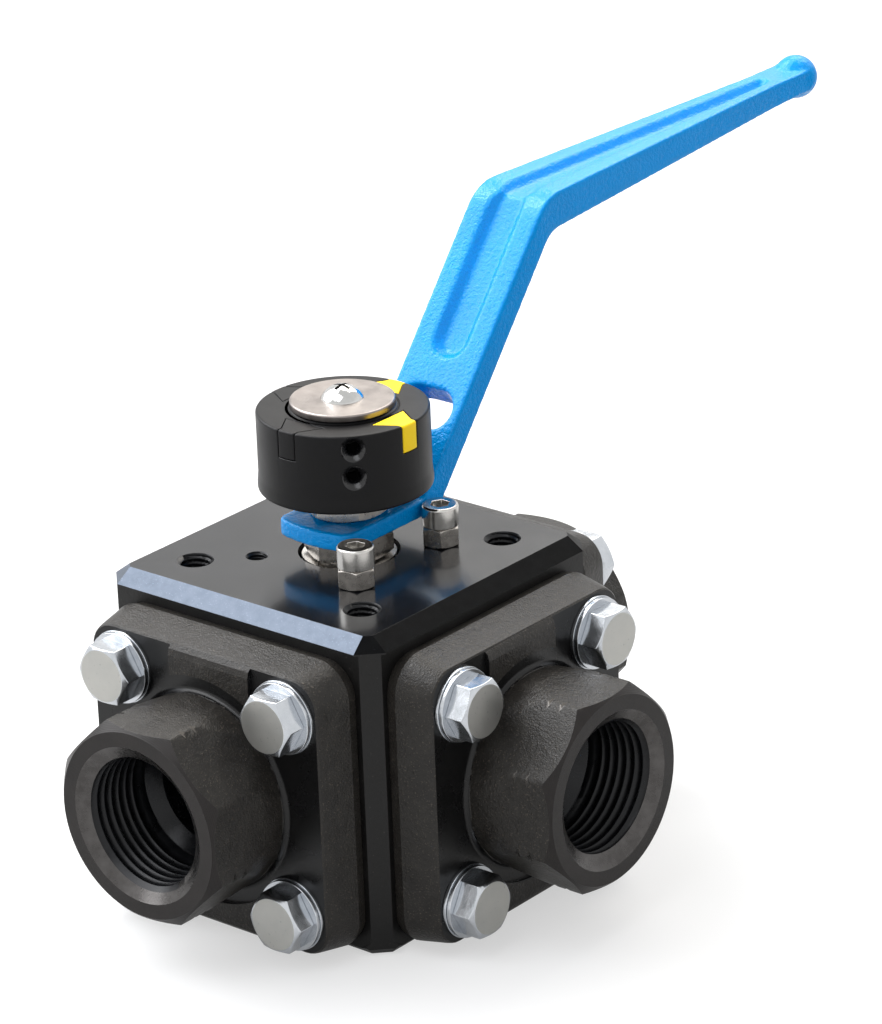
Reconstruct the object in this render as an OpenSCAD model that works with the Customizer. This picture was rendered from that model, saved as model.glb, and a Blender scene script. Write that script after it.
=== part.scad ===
// Three-port block ball valve with a cast lever and a position indicator.
// Millimetres. The origin is the centre of the machined pad on top of the
// body, +Z points up along the stem, +Y is the lever's rest direction.
// Ports: front cap at -Y, side cap at +X, rear cap at +Y. The -X side is blind.

/* [Body block] */
// Width of the square body block across two opposite sides
block_w = 80; // [78:1:92]
// Height of the block from its base to the pad on top
block_h = 76.5; // [76:0.5:88]
// Depth of the port axes below the pad
axis_drop = 40.2; // [39.5:0.1:42]
// How far the pad's edge chamfer reaches inwards
pad_chamfer_in = 4; // [2:0.5:5]
// How far the pad's edge chamfer reaches down
pad_chamfer_down = 3; // [1:0.5:3]
// Leg of the bevel along the four upright corners
corner_bevel = 5; // [3:0.5:5.5]
// Chamfer around the base
base_chamfer = 2; // [1:0.5:4]
// Depth of the milled seat on each side of the block
side_recess = 0.75; // [0.5:0.05:1.5]
// Radius of the milled seats' upper corners
recess_corner = 1; // [0.5:0.25:4]
// Radius of the milled seats' lower corners
recess_low_corner = 8; // [4:0.5:10]
// Width of the land left between a milled seat and the chamfer above it
recess_land = 0.4; // [0.2:0.1:1]

/* [Actuator pad] */
// Pitch circle of the four outer tapped holes
pad_pcd = 70; // [66:0.5:72]
// Tapping diameter of the outer holes, an M8 thread
pad_hole_d = 6.8; // [6:0.1:7.2]
// Depth of the outer holes
pad_hole_depth = 13; // [8:0.5:14]
// Mouth diameter of the countersinks on the outer holes
pad_sink_d = 7.6; // [7:0.1:7.7]
// Pitch circle of the four inner tapped holes
stop_pcd = 42; // [40:0.5:46]
// Tapping diameter of the inner holes, an M5 thread
stop_hole_d = 4.2; // [4:0.1:4.4]
// Depth of the inner holes
stop_hole_depth = 10; // [8:0.5:12]
// Mouth diameter of the countersinks on the inner holes
stop_sink_d = 5.4; // [5:0.1:6]

/* [Ball and seats] */
// Diameter of the ball
ball_d = 46; // [45:0.5:47]
// Bore through the ball and the caps
bore_d = 25; // [22:0.5:26]
// Width of the sealing band between the bore's edge and the seat's tip
seal_band = 2.9; // [2:0.1:3.4]
// Thickness of a seat ring along the port axis
seat_len = 7.4; // [6:0.1:9]
// Gap between the ball and a seat ring
seat_gap = 0.3; // [0.25:0.05:0.5]
// Width of the drive slot in the top of the ball
slot_w = 10; // [8:0.5:12]
// Depth of the drive slot
slot_depth = 7; // [5:0.5:8]

/* [Caps] */
// Width of the square cap flange at its widest line
flange_w = 70; // [69:0.5:72]
// Corner radius of the flange
flange_corner = 8.5; // [7:0.5:12]
// Distance from the flange's back face to its widest line
flange_rim = 2.8; // [1:0.1:5]
// Length of the flange's drafted side in front of the widest line
flange_side = 7.2; // [5:0.1:9]
// How far the drafted side draws in
flange_draw = 1.4; // [0.5:0.1:2.5]
// Radius of the flange's rounded front edge
flange_edge = 2.9; // [1.5:0.1:4]
// Distance between neighbouring bolts of a cap
bolt_spacing = 47.8; // [46:0.1:49]
// Depth of the two milled strips that the bolts sit on, below the flange's front face
bolt_seat_depth = 1.1; // [0.5:0.1:2]
// Distance from the port's axis to the strip on the forged land's wide side
land_wide = 14.5; // [12:0.5:15]
// Distance from the port's axis to the strip on the forged land's narrow side
land_narrow = 9; // [6:0.5:15]
// Radius of the turned ring around the boss, cut as deep as the strips
turned_r = 27.25; // [26:0.25:29]
// Distance across the flats of the eight-sided boss
boss_af = 45; // [44:0.5:47]
// How far the boss stands out from the flange's front face
boss_len = 22.5; // [18:0.5:28]
// Radius of the boss's front face where its chamfer starts
boss_face_r = 22; // [21:0.25:22.5]
// Minor diameter of the female pipe thread
thread_minor_d = 30.3; // [28:0.1:31]
// Depth of the threaded part of a port
thread_len = 19; // [15:0.5:21]
// Mouth diameter of a port's countersink
mouth_d = 37; // [34:0.2:38]
// Depth of a port's countersink
mouth_depth = 2.4; // [1:0.1:4]
// Radius of the boss at its round foot
boss_foot_r = 22.9; // [22.6:0.1:24]
// Length of the boss's eight flat sides, behind its front face
boss_flat_len = 11.6; // [11.5:0.1:14]
// Radius of the fillet around the foot of the boss
foot_fillet = 1.3; // [0.5:0.1:1.5]
// Section of the static O-ring on a cap's spigot
cap_oring_d = 2.5; // [2:0.1:3]
// Width of the two grooves turned across the boss's edges
notch_w = 1.3; // [0.5:0.1:2]
// Depth of the two grooves turned across the boss's edges
notch_depth = 0.6; // [0.3:0.1:1]

/* [Cap bolts] */
// Nominal diameter of the cap bolts
bolt_d = 8; // [7:0.5:8]
// Distance across the flats of a bolt head
bolt_af = 13; // [12:0.5:14]
// Height of a bolt head
bolt_head_h = 5.3; // [4.5:0.1:6.5]
// Length of a bolt under its head
bolt_len = 22; // [20:0.5:23]
// Depth of the tapped bolt holes in the body
bolt_hole_depth = 10.3; // [9:0.1:10.5]
// Outer diameter of a lock washer
washer_d = 17.2; // [15:0.1:18]
// Thickness of each half of a lock washer pair
washer_t = 1; // [0.7:0.05:1.2]

/* [Stem] */
// Diameter of the stem where the body guides it
stem_d = 14; // [12:0.5:15]
// Diameter of the collar that keeps the stem in
collar_d = 19; // [18:0.5:20]
// Height of the collar
collar_h = 2.7; // [2:0.1:3]
// Thickness of the thrust washer above the collar
thrust_t = 1.2; // [0.8:0.1:1.5]
// Radial running clearance of the stem in its bore
stem_fit = 0.05; // [0.02:0.01:0.1]
// Distance across the two flats that drive the lever
stem_flats = 10; // [9:0.5:11]
// Diameter of the threaded neck above the lever
neck_d = 10; // [9:0.5:10]
// Distance across the two flats that drive the indicator
indicator_flats = 8; // [7:0.5:8.5]

/* [Gland] */
// Diameter of the gland recess in the pad
recess_d = 23.4; // [22.5:0.1:24.5]
// Depth of the gland recess
recess_depth = 4; // [3:0.1:5]
// Outer diameter of the packing chamber
packing_d = 19.2; // [18:0.1:20]
// Depth of the packing chamber below the recess
packing_depth = 5; // [4:0.1:5.5]
// Thickness of one packing ring
packing_ring_h = 2; // [1.5:0.1:2.2]
// Thickness of the gland ring's flange
gland_flange_t = 1; // [0.8:0.1:1.5]
// Thickness of one disc spring
spring_t = 0.7; // [0.5:0.05:1]
// Free cone height of one disc spring
spring_cone = 0.4; // [0.3:0.05:0.6]
// Distance across the flats of the gland nut
gland_nut_af = 18; // [17:0.5:19]

/* [Lever] */
// Height of the lever plate's underside above the pad
plate_z = 5.5; // [5:0.1:6]
// Thickness of the lever plate
plate_t = 4.2; // [3.5:0.1:5]
// Reach of the plate's tail behind the stem
tail_reach = 14; // [12:0.5:14.5]
// Radius of the tail's end
tail_r = 32; // [20:1:60]
// Distance from the stem to the foot of the rising arm
arm_foot = 14.7; // [14.4:0.1:16]
// Angle of the rising arm above the horizontal
arm_angle = 51; // [46:0.5:52]
// Thickness of the rising arm, square to its faces
arm_t = 6.7; // [5.5:0.1:8]
// Height of the handle's upper face above the pad, at the bend
handle_z = 68.7; // [60:0.1:74]
// Height of the handle's upper face above the pad, at the knob
handle_end_z = 69.4; // [60:0.1:74]
// Thickness of the handle just past the bend
handle_t = 9; // [7:0.1:10]
// Thickness of the handle at the knob
handle_end_t = 5.5; // [5:0.1:8]
// Distance from the stem to the knob's centre
knob_reach = 175; // [150:1:200]
// Diameter of the knob
knob_d = 10.9; // [9:0.1:13]
// Width of the handle at the knob
handle_end_w = 10; // [8:0.5:11]
// Distance from the stem to where the taper starts
taper_start = 60; // [46:1:70]
// Distance from the knob back to where the taper ends
taper_end_gap = 15; // [12:1:35]
// Inner radius of the upper bend
bend_in_r = 8; // [4:0.5:12]
// Outer radius of the upper bend
bend_out_r = 12; // [8:0.5:16]
// Depth of the relief in the lever's upper face
relief_depth = 2.2; // [1:0.1:3]
// Width of the relief at the surface, on the arm
relief_w = 10; // [7:0.5:12]
// Width of the relief at the surface, at the handle's thin end
relief_end_w = 4; // [3:0.5:6]
// Draft of the relief's walls, measured along the surface
relief_draft = 1.8; // [0.5:0.1:2]
// Height of the window in the arm, along the arm's upper face
window_h = 10; // [7:0.5:11]
// Width of the window at the arm's upper face
window_w = 16; // [12:0.5:17]
// How far the window's walls draw in towards the arm's lower face
window_draw = 1.6; // [0.5:0.1:2.5]
// Distance from the arm's foot to the window's centre, along the arm
window_at = 21; // [18:0.5:24]

/* [Stops] */
// Diameter of a stop screw's head
stop_head_d = 8.5; // [8:0.1:9]
// Height of a stop screw's head
stop_head_h = 5; // [4:0.1:5.2]
// Distance across the flats of a stop nut
stop_nut_af = 8; // [7.5:0.5:9]
// Height of a stop nut
stop_nut_h = 4.7; // [4:0.1:5]
// Gap between the lever's edge and a stop screw's head
stop_gap = 0.1; // [0.05:0.05:0.5]
// Depth of a stop screw's thread in the body
stop_grip = 8; // [6:0.5:8]

/* [Indicator] */
// Height of the indicator's underside above the pad
puck_z = 16.4; // [16:0.1:18]
// Diameter of the indicator
puck_d = 39.4; // [36:0.2:39.6]
// Height of the indicator's rim
puck_h = 18.5; // [15:0.1:20]
// How far the indicator's foot flares out
puck_flare = 0.25; // [0:0.05:0.25]
// Rounding of the indicator's upper edge
puck_edge = 0.6; // [0.3:0.1:1]
// Diameter of the raised centre of the indicator
puck_hub_d = 23; // [20:0.5:23]
// Height of the raised centre
puck_hub_h = 0.5; // [0.3:0.1:2]
// Diameter of the ring groove around the centre
puck_ring_d = 25.6; // [25:0.2:27]
// Distance across the flats of the lock nut under the indicator
lock_nut_af = 17; // [15:0.5:18]
// Width of an arrow's head
arrow_w = 10.8; // [8:0.2:12]
// Width of an arrow's stem
arrow_stem_w = 4.6; // [3:0.2:6]
// Distance from the stem's axis to the base of an arrow's head
arrow_base = 13.2; // [13:0.1:14.5]
// Length of an arrow's head
arrow_head = 5; // [3:0.2:5.5]
// How far an arrow runs down the indicator's side
arrow_drop = 6.5; // [4:0.5:9]
// Thickness of an arrow insert
arrow_t = 1.2; // [0.8:0.1:2]
// Gap around an arrow insert
arrow_gap = 0.15; // [0.1:0.05:0.3]
// Mouth diameter of the two holes in the indicator's side
dowel_mouth_d = 5.8; // [5:0.1:6]
// Diameter of the two holes in the indicator's side
dowel_d = 3.2; // [2:0.1:4]
// Distance between the two holes
dowel_spacing = 6.7; // [6.2:0.1:7.5]
// Diameter of the indicator's cover washer
cover_washer_d = 24; // [22:0.5:25]
// Thickness of the cover washer
cover_washer_t = 1.6; // [1:0.1:2]
// Head diameter of the indicator screw
top_screw_head_d = 9.8; // [8:0.1:11]
// Head height of the indicator screw
top_screw_head_h = 3; // [2.5:0.1:4]
// Thread diameter of the indicator screw
top_screw_d = 5; // [4:0.5:6]

/* [Hidden] */
$fn = 96;
hull_fn = 32;
eps = 0.01;
over = 1;

// Directions of the ports, as turns about the stem from the front port
FRONT = 0;
SIDE = 90;
REAR = 180;
BLIND = 270;

// Clearances between pieces that are held together
slip = 0.05;
thread_slip = 0.05;
face_gap = 0.1;
neighbour_gap = 0.3;

// Ball, seats and spigots, measured from the valve's centre
ball_r = ball_d / 2;
bore_r = bore_d / 2;
seal_r = bore_r + seal_band;
seat_tip = sqrt(ball_r * ball_r - seal_r * seal_r);
seat_r = seat_tip - neighbour_gap;
seat_back = seat_tip + seat_len;
nose_r = seat_r + slip + 2;
nose_tip = nose_r + neighbour_gap;
spigot_r = ball_r + 0.1;
spigot_tip = spigot_r + neighbour_gap;
chamber_r = spigot_r + slip;

// Planes along a port's axis
side_face = block_w / 2 - side_recess;
flange_front = side_face + flange_rim + flange_side + flange_edge;
bolt_seat = flange_front - bolt_seat_depth;
bolt_head_z = bolt_seat + 2 * washer_t;
port_face = flange_front + boss_len;
bolt_off = bolt_spacing / 2;
bolt_r = bolt_d / 2;
bolt_tap_r = bolt_r - 0.6;
bolt_clear_r = bolt_r + 0.4;
cap_oring_z = (spigot_tip + side_face) / 2;
cap_oring_mid_r = chamber_r - cap_oring_d / 2;

// Heights of the stem's stack, measured from the pad
axis_z = -axis_drop;
ball_top = axis_z + ball_r;
collar_z = ball_top + neighbour_gap;
collar_top = collar_z + collar_h;
thrust_top = collar_top + thrust_t;
packing_z = -recess_depth - packing_depth;
gland_z = packing_z + 2 * packing_ring_h;
gland_flange_z = -recess_depth + 0.3;
gland_top = gland_flange_z + gland_flange_t;
spring_z = gland_top + face_gap;
spring_h = spring_t + spring_cone;
gland_nut_z = spring_z + 2 * spring_h;
plate_top = plate_z + plate_t;
stem_r = stem_d / 2;
stem_bore_r = stem_r + stem_fit;
collar_r = collar_d / 2;
neck_r = neck_d / 2;
slot_floor = ball_top - slot_depth;
tang_z = slot_floor + neighbour_gap;
tang_w = slot_w - 0.4;
tang_len = 2 * sqrt(pow(collar_r - 0.1, 2) - pow(tang_w / 2, 2));
stem_oring_d = 1.8;
stem_oring_z = (thrust_top + packing_z) / 2;

// Indicator
puck_r = puck_d / 2;
puck_top = puck_z + puck_h;
hub_top = puck_top + puck_hub_h;
cover_top = hub_top + cover_washer_t;
stem_top = puck_top - 3;
top_screw_tap_r = top_screw_d / 2 - 0.4;
top_screw_len = cover_top - stem_top + 9;

// Stops and the lever's width, so that its edge meets a stop screw's head
pad_off = pad_pcd / 2 / sqrt(2);
stop_off = stop_pcd / 2 / sqrt(2);
lever_half = stop_off - stop_head_d / 2 - stop_gap;

// Lever profile in the YZ plane
arm_rise = tan(arm_angle);
arm_shift = arm_t / sin(arm_angle);
arm_low_foot = arm_foot + arm_shift - plate_t / arm_rise;
bend_y = arm_foot + (handle_z - plate_top) / arm_rise;
handle_low_z = handle_z - handle_t;
low_bend_y = arm_low_foot + (handle_low_z - plate_z) / arm_rise;
knob_z = handle_end_z - handle_end_t / 2;
taper_end = knob_reach - taper_end_gap;

function rad_of(a) = a * PI / 180;
function dist(a, b) = norm([b[0] - a[0], b[1] - a[1]]);
function unit(a, b) = [b[0] - a[0], b[1] - a[1]] / dist(a, b);
function cross_z(a, b) = a[0] * b[1] - a[1] * b[0];

// Points of the arc of radius r that rounds corner b between a and c
function fillet(a, b, c, r, n = 8) =
    let (u = unit(b, a), v = unit(b, c))
    let (half = acos(u * v) / 2, reach = r / tan(half))
    let (mid = (u + v) / norm(u + v), centre = b + mid * r / sin(half))
    let (p = b + u * reach, q = b + v * reach)
    let (a0 = atan2(p[1] - centre[1], p[0] - centre[0]))
    let (turn = cross_z(p - centre, q - centre) > 0 ? 180 - 2 * half : 2 * half - 180)
    [for (i = [0:n]) centre + r * [cos(a0 + turn * i / n), sin(a0 + turn * i / n)]];

// Puts a shape that is drawn along +Z from the valve's centre onto a port:
// its +Z becomes the port's outward direction and its +Y stays up
module on_port(turn) {
    rotate([0, 0, turn]) translate([0, 0, axis_z]) rotate([90, 0, 0]) children();
}

// The four corners of a square pattern
module four(off) {
    for (x = [-off, off], y = [-off, off]) translate([x, y, 0]) children();
}

// A flat ring
module ring(outer_r, inner_r, h) {
    difference() {
        cylinder(r = outer_r, h = h);
        translate([0, 0, -over]) cylinder(r = inner_r, h = h + 2 * over);
    }
}

// A hexagon prism with its upper corners turned off at 30 degrees
module hex_blank(af, h, both = false) {
    corner_r = af / 2 / cos(30);
    face_r = af / 2 * 0.94;
    drop = (corner_r - face_r) * tan(30);
    intersection() {
        cylinder(r = corner_r, h = h, $fn = 6);
        rotate_extrude() polygon(both
            ? [[0, 0], [face_r, 0], [corner_r + eps, drop],
               [corner_r + eps, h - drop], [face_r, h], [0, h]]
            : [[0, 0], [corner_r + eps, 0], [corner_r + eps, h - drop], [face_r, h], [0, h]]);
    }
}

// A hexagon nut around a plain hole
module hex_nut(af, h, hole_r) {
    difference() {
        hex_blank(af, h, both = true);
        translate([0, 0, -over]) cylinder(r = hole_r, h = h + 2 * over);
    }
}

// The shallow milled seat on one side of the block
module side_pocket() {
    half_w = block_w / 2 - 2;
    top = axis_drop - pad_chamfer_down - recess_land;
    bottom = -flange_w / 2 - recess_land;
    r = recess_corner;
    low_r = recess_low_corner;
    mid = bottom + low_r;
    translate([0, 0, side_face]) linear_extrude(block_w) {
        translate([-half_w, mid]) square([2 * half_w, top - r - mid]);
        translate([r - half_w, mid]) square([2 * (half_w - r), top - mid]);
        translate([low_r - half_w, bottom]) square([2 * (half_w - low_r), top - bottom]);
        for (x = [r - half_w, half_w - r]) translate([x, top - r]) circle(r, $fn = 32);
        for (x = [low_r - half_w, half_w - low_r]) translate([x, mid]) circle(low_r, $fn = 64);
    }
}

// A wedge that takes the edge off one side, drawn along X at y = 0
module edge_cut(reach_in, reach_down) {
    rotate([90, 0, 90]) linear_extrude(block_w + 2, center = true)
        polygon([[-over, -reach_down * (1 + over / reach_in)],
                 [-over, over], [reach_in + over, over],
                 [reach_in, 0], [0, -reach_down]]);
}

module block_blank() {
    half = block_w / 2;
    b = half - corner_bevel;
    corner_face = (half + b) / sqrt(2);
    difference() {
        translate([0, 0, -block_h]) linear_extrude(block_h)
            polygon([[half, -b], [half, b], [b, half], [-b, half],
                     [-half, b], [-half, -b], [-b, -half], [b, -half]]);
        for (a = [0:90:270]) rotate([0, 0, a]) {
            translate([0, -half, 0]) edge_cut(pad_chamfer_in, pad_chamfer_down);
            translate([0, -half, -block_h]) mirror([0, 0, 1]) edge_cut(base_chamfer, base_chamfer);
        }
        for (a = [45:90:315]) rotate([0, 0, a]) {
            translate([0, -corner_face, 0]) edge_cut(pad_chamfer_in * 0.8, pad_chamfer_down);
            translate([0, -corner_face, -block_h]) mirror([0, 0, 1])
                edge_cut(base_chamfer * 0.8, base_chamfer * 0.8);
        }
    }
}

module tapped(hole_d, depth, sink_d) {
    translate([0, 0, -depth]) cylinder(d = hole_d, h = depth + over);
    sink = (sink_d - hole_d) / 2;
    translate([0, 0, -sink]) cylinder(d1 = hole_d, d2 = sink_d + 2 * eps, h = sink + eps);
}

module valve_body() {
    color([0.10, 0.10, 0.11]) difference() {
        block_blank();
        for (turn = [FRONT, SIDE, REAR, BLIND]) on_port(turn) side_pocket();
        for (turn = [FRONT, SIDE, REAR]) on_port(turn) {
            cylinder(r = chamber_r, h = block_w);
            four(bolt_off) translate([0, 0, side_face - bolt_hole_depth])
                cylinder(r = bolt_tap_r, h = bolt_hole_depth + over);
        }
        on_port(BLIND) cylinder(r = seat_r + slip, h = seat_back);
        four(pad_off) tapped(pad_hole_d, pad_hole_depth, pad_sink_d);
        four(stop_off) tapped(stop_hole_d, stop_hole_depth, stop_sink_d);
        translate([0, 0, -recess_depth]) cylinder(d = recess_d, h = recess_depth + over);
        translate([0, 0, packing_z]) cylinder(d = packing_d, h = packing_depth + over);
        translate([0, 0, axis_z]) cylinder(r = stem_bore_r, h = axis_drop);
        translate([0, 0, axis_z]) cylinder(r = collar_r + 0.2, h = thrust_top - axis_z);
    }
}

// The square flange: it swells to its widest line, drafts in and ends in a rounded edge
module flange_blank() {
    off = flange_w / 2 - flange_corner;
    wide = side_face + flange_rim;
    edge = wide + flange_side;
    side_r = flange_corner - flange_draw;
    hull() four(off) {
        translate([0, 0, side_face])
            cylinder(r1 = flange_corner - 0.7, r2 = flange_corner, h = flange_rim, $fn = hull_fn);
        translate([0, 0, wide])
            cylinder(r1 = flange_corner, r2 = side_r, h = flange_side, $fn = hull_fn);
        for (a = [30, 60, 90]) translate([0, 0, edge])
            cylinder(r = side_r - flange_edge * (1 - cos(a)), h = flange_edge * sin(a), $fn = hull_fn);
    }
}

// The boss: round at its foot, eight-sided in front, its front corners turned off by a cone
module boss() {
    corner_r = boss_af / 2 / cos(22.5);
    cone = corner_r + 0.2 - boss_face_r;
    intersection() {
        hull() {
            translate([0, 0, bolt_seat - over]) cylinder(r = boss_foot_r, h = over + 0.4, $fn = hull_fn);
            rotate([0, 0, 22.5]) translate([0, 0, port_face - boss_flat_len])
                cylinder(r = corner_r, h = boss_flat_len, $fn = 8);
        }
        union() {
            translate([0, 0, bolt_seat - over])
                cylinder(r = corner_r + 0.2, h = port_face - bolt_seat + over - cone);
            translate([0, 0, port_face - cone])
                cylinder(r1 = corner_r + 0.2, r2 = boss_face_r, h = cone);
        }
    }
}

// The turned fillet at the foot of the boss
module foot_ring() {
    r = boss_foot_r + 0.15;
    f = foot_fillet;
    rotate_extrude() polygon(concat(
        [[bore_r + 4, bolt_seat - over], [bore_r + 4, bolt_seat + f], [r, bolt_seat + f]],
        [for (i = [1:6]) [r + f - f * cos(i * 90 / 6), bolt_seat + f - f * sin(i * 90 / 6)]],
        [[r + f, bolt_seat - over]]));
}

// Two grooves turned around the boss, so shallow that they cut its eight edges only
module edge_notches() {
    corner_r = boss_af / 2 / cos(22.5);
    for (k = [0, 1]) translate([0, 0, port_face - 6.5 - 3.4 * k]) rotate_extrude()
        polygon([[corner_r - notch_depth, 0], [corner_r + over, -notch_w / 2 * (1 + over / notch_depth)],
                 [corner_r + over, notch_w / 2 * (1 + over / notch_depth)]]);
}

// The flange with its spigot and nose, milled strips and the turned ring around the boss
module cap_flange() {
    difference() {
        union() {
            flange_blank();
            translate([0, 0, spigot_tip]) cylinder(r = spigot_r, h = side_face - spigot_tip + over);
            translate([0, 0, nose_tip]) cylinder(r = nose_r, h = spigot_tip - nose_tip + over);
        }
        translate([0, 0, bolt_seat]) cylinder(r = turned_r, h = boss_len);
        translate([land_wide, -flange_w, bolt_seat]) cube([flange_w, 2 * flange_w, boss_len]);
        translate([-land_narrow - flange_w, -flange_w, bolt_seat])
            cube([flange_w, 2 * flange_w, boss_len]);
        translate([0, 0, cap_oring_z - 0.65 * cap_oring_d])
            ring(spigot_r + over, cap_oring_mid_r - cap_oring_d / 2, 1.3 * cap_oring_d);
    }
}

module cap() {
    difference() {
        union() {
            cap_flange();
            boss();
            foot_ring();
        }
        translate([0, 0, nose_tip - over]) cylinder(r = bore_r, h = port_face);
        translate([0, 0, nose_tip - over]) cylinder(r = seat_r + slip, h = seat_back - nose_tip + over);
        translate([0, 0, port_face - thread_len]) cylinder(d = thread_minor_d, h = thread_len + over);
        translate([0, 0, port_face - thread_len - 3])
            cylinder(r1 = bore_r, r2 = thread_minor_d / 2, h = 3 + eps);
        translate([0, 0, port_face - mouth_depth])
            cylinder(d1 = thread_minor_d, d2 = mouth_d, h = mouth_depth + eps);
        four(bolt_off) translate([0, 0, side_face - over]) cylinder(r = bolt_clear_r, h = block_w);
        edge_notches();
    }
}

module cap_bolt() {
    translate([0, 0, bolt_head_z]) hex_blank(bolt_af, bolt_head_h);
    translate([0, 0, side_face]) cylinder(r = bolt_r, h = bolt_head_z - side_face + eps);
    translate([0, 0, bolt_head_z - bolt_len])
        cylinder(r = bolt_tap_r - thread_slip, h = bolt_len);
}

module cap_bolts(turn) {
    color([0.78, 0.79, 0.80]) on_port(turn) four(bolt_off) cap_bolt();
}

module cap_washers(turn) {
    color([0.70, 0.71, 0.72]) on_port(turn) four(bolt_off) for (k = [0, 1])
        translate([0, 0, bolt_seat + k * washer_t])
            ring(washer_d / 2 - 0.25 * k, bolt_clear_r, washer_t - (1 - k) * slip);
}

module cap_oring(turn) {
    color([0.05, 0.05, 0.05]) on_port(turn) translate([0, 0, cap_oring_z])
        rotate_extrude() translate([cap_oring_mid_r, 0]) circle(d = cap_oring_d, $fn = 32);
}

module seat(turn) {
    color([0.92, 0.91, 0.86]) on_port(turn) difference() {
        translate([0, 0, seat_tip]) ring(seat_r, bore_r, seat_len);
        sphere(r = ball_r + seat_gap);
    }
}

module ball() {
    color([0.85, 0.86, 0.88]) translate([0, 0, axis_z]) difference() {
        sphere(r = ball_r);
        rotate([0, 90, 0]) cylinder(r = bore_r, h = ball_d);
        rotate([-90, 0, 0]) cylinder(r = bore_r, h = ball_d);
        sphere(r = bore_r);
        translate([-slot_w / 2, -ball_r, ball_r - slot_depth]) cube([slot_w, ball_d, slot_depth + over]);
    }
}

// A round bar of radius r with two flats across X
module flatted(r, flats, h) {
    intersection() {
        cylinder(r = r, h = h);
        translate([-flats / 2, -r, 0]) cube([flats, 2 * r, h]);
    }
}

module stem() {
    color([0.72, 0.73, 0.74]) difference() {
        union() {
            translate([-tang_w / 2, -tang_len / 2, tang_z])
                cube([tang_w, tang_len, collar_z - tang_z + eps]);
            translate([0, 0, collar_z]) cylinder(r = collar_r, h = collar_h);
            translate([0, 0, collar_z]) cylinder(r = stem_r, h = plate_z - collar_z);
            translate([0, 0, plate_z - eps]) flatted(stem_r, stem_flats, plate_t + eps);
            translate([0, 0, plate_top - eps]) cylinder(r = neck_r, h = puck_z - plate_top + eps);
            translate([0, 0, puck_z - eps]) flatted(neck_r, indicator_flats, stem_top - puck_z + eps);
        }
        translate([0, 0, stem_oring_z - 0.65 * stem_oring_d])
            ring(stem_r + over, stem_r - stem_oring_d, 1.3 * stem_oring_d);
        translate([0, 0, cover_top - top_screw_len - over])
            cylinder(r = top_screw_tap_r, h = top_screw_len);
    }
}

module thrust_washer() {
    color([0.90, 0.89, 0.82]) translate([0, 0, collar_top + face_gap])
        ring(collar_r + 0.1, stem_bore_r, thrust_t - face_gap);
}

module stem_oring() {
    color([0.05, 0.05, 0.05]) translate([0, 0, stem_oring_z])
        rotate_extrude() translate([stem_r - stem_oring_d / 2, 0]) circle(d = stem_oring_d, $fn = 32);
}

module packing(level) {
    color([0.88, 0.87, 0.80]) translate([0, 0, packing_z + level * packing_ring_h])
        ring(packing_d / 2 - slip, stem_bore_r, packing_ring_h);
}

module gland_ring() {
    color([0.70, 0.71, 0.72]) translate([0, 0, gland_z]) difference() {
        union() {
            cylinder(r = packing_d / 2 - 0.1, h = gland_top - gland_z);
            translate([0, 0, gland_flange_z - gland_z])
                cylinder(r = recess_d / 2 - 0.7, h = gland_flange_t);
        }
        translate([0, 0, -over]) cylinder(r = stem_bore_r, h = recess_depth + packing_depth);
    }
}

// A conical spring washer, the lower one upright and the upper one turned over
module disc_spring(level) {
    inner = stem_r + 0.2;
    outer = recess_d / 2 - 0.9;
    color([0.80, 0.80, 0.78]) translate([0, 0, spring_z + level * spring_h])
        rotate_extrude() polygon(level == 0
            ? [[inner, spring_cone], [outer, 0], [outer, spring_t], [inner, spring_h]]
            : [[inner, 0], [outer, spring_cone], [outer, spring_h], [inner, spring_t]]);
}

module gland_nut() {
    color([0.55, 0.55, 0.54]) translate([0, 0, gland_nut_z])
        rotate([0, 0, 30]) hex_nut(gland_nut_af, plate_z - gland_nut_z, stem_r + slip);
}

module stop_nuts() {
    color([0.55, 0.55, 0.54]) for (y = [-stop_off, stop_off]) translate([stop_off, y, 0])
        rotate([0, 0, 10]) hex_nut(stop_nut_af, stop_nut_h, stop_hole_d / 2 + 0.4);
}

module stop_screws() {
    socket_r = 4 / 2 / cos(30);
    color([0.60, 0.60, 0.60]) for (y = [-stop_off, stop_off]) translate([stop_off, y, 0]) difference() {
        union() {
            translate([0, 0, -stop_grip]) cylinder(r = stop_hole_d / 2 - thread_slip, h = stop_grip);
            cylinder(r = stop_hole_d / 2 + 0.35, h = stop_nut_h + eps);
            translate([0, 0, stop_nut_h]) cylinder(d = stop_head_d, h = stop_head_h - 0.4);
            translate([0, 0, stop_nut_h + stop_head_h - 0.4])
                cylinder(d1 = stop_head_d, d2 = stop_head_d - 0.8, h = 0.4);
        }
        translate([0, 0, stop_nut_h + stop_head_h - 2.5]) cylinder(r = socket_r, h = 3, $fn = 6);
    }
}

// Side view of the lever: plate, rising arm and handle, without the knob
module lever_side() {
    tail = [-tail_reach - over, plate_z];
    low_foot = [arm_low_foot, plate_z];
    low_bend = [low_bend_y, handle_low_z];
    low_end = [knob_reach, handle_end_z - handle_end_t];
    top_end = [knob_reach, handle_end_z];
    top_bend = [bend_y, handle_z];
    top_foot = [arm_foot, plate_top];
    top_tail = [-tail_reach - over, plate_top];
    polygon(concat([tail],
        fillet(tail, low_foot, low_bend, 4),
        fillet(low_foot, low_bend, low_end, bend_in_r),
        [low_end, top_end],
        fillet(top_end, top_bend, top_foot, bend_out_r),
        fillet(top_bend, top_foot, top_tail, 1.5),
        [top_tail]));
}

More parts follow.
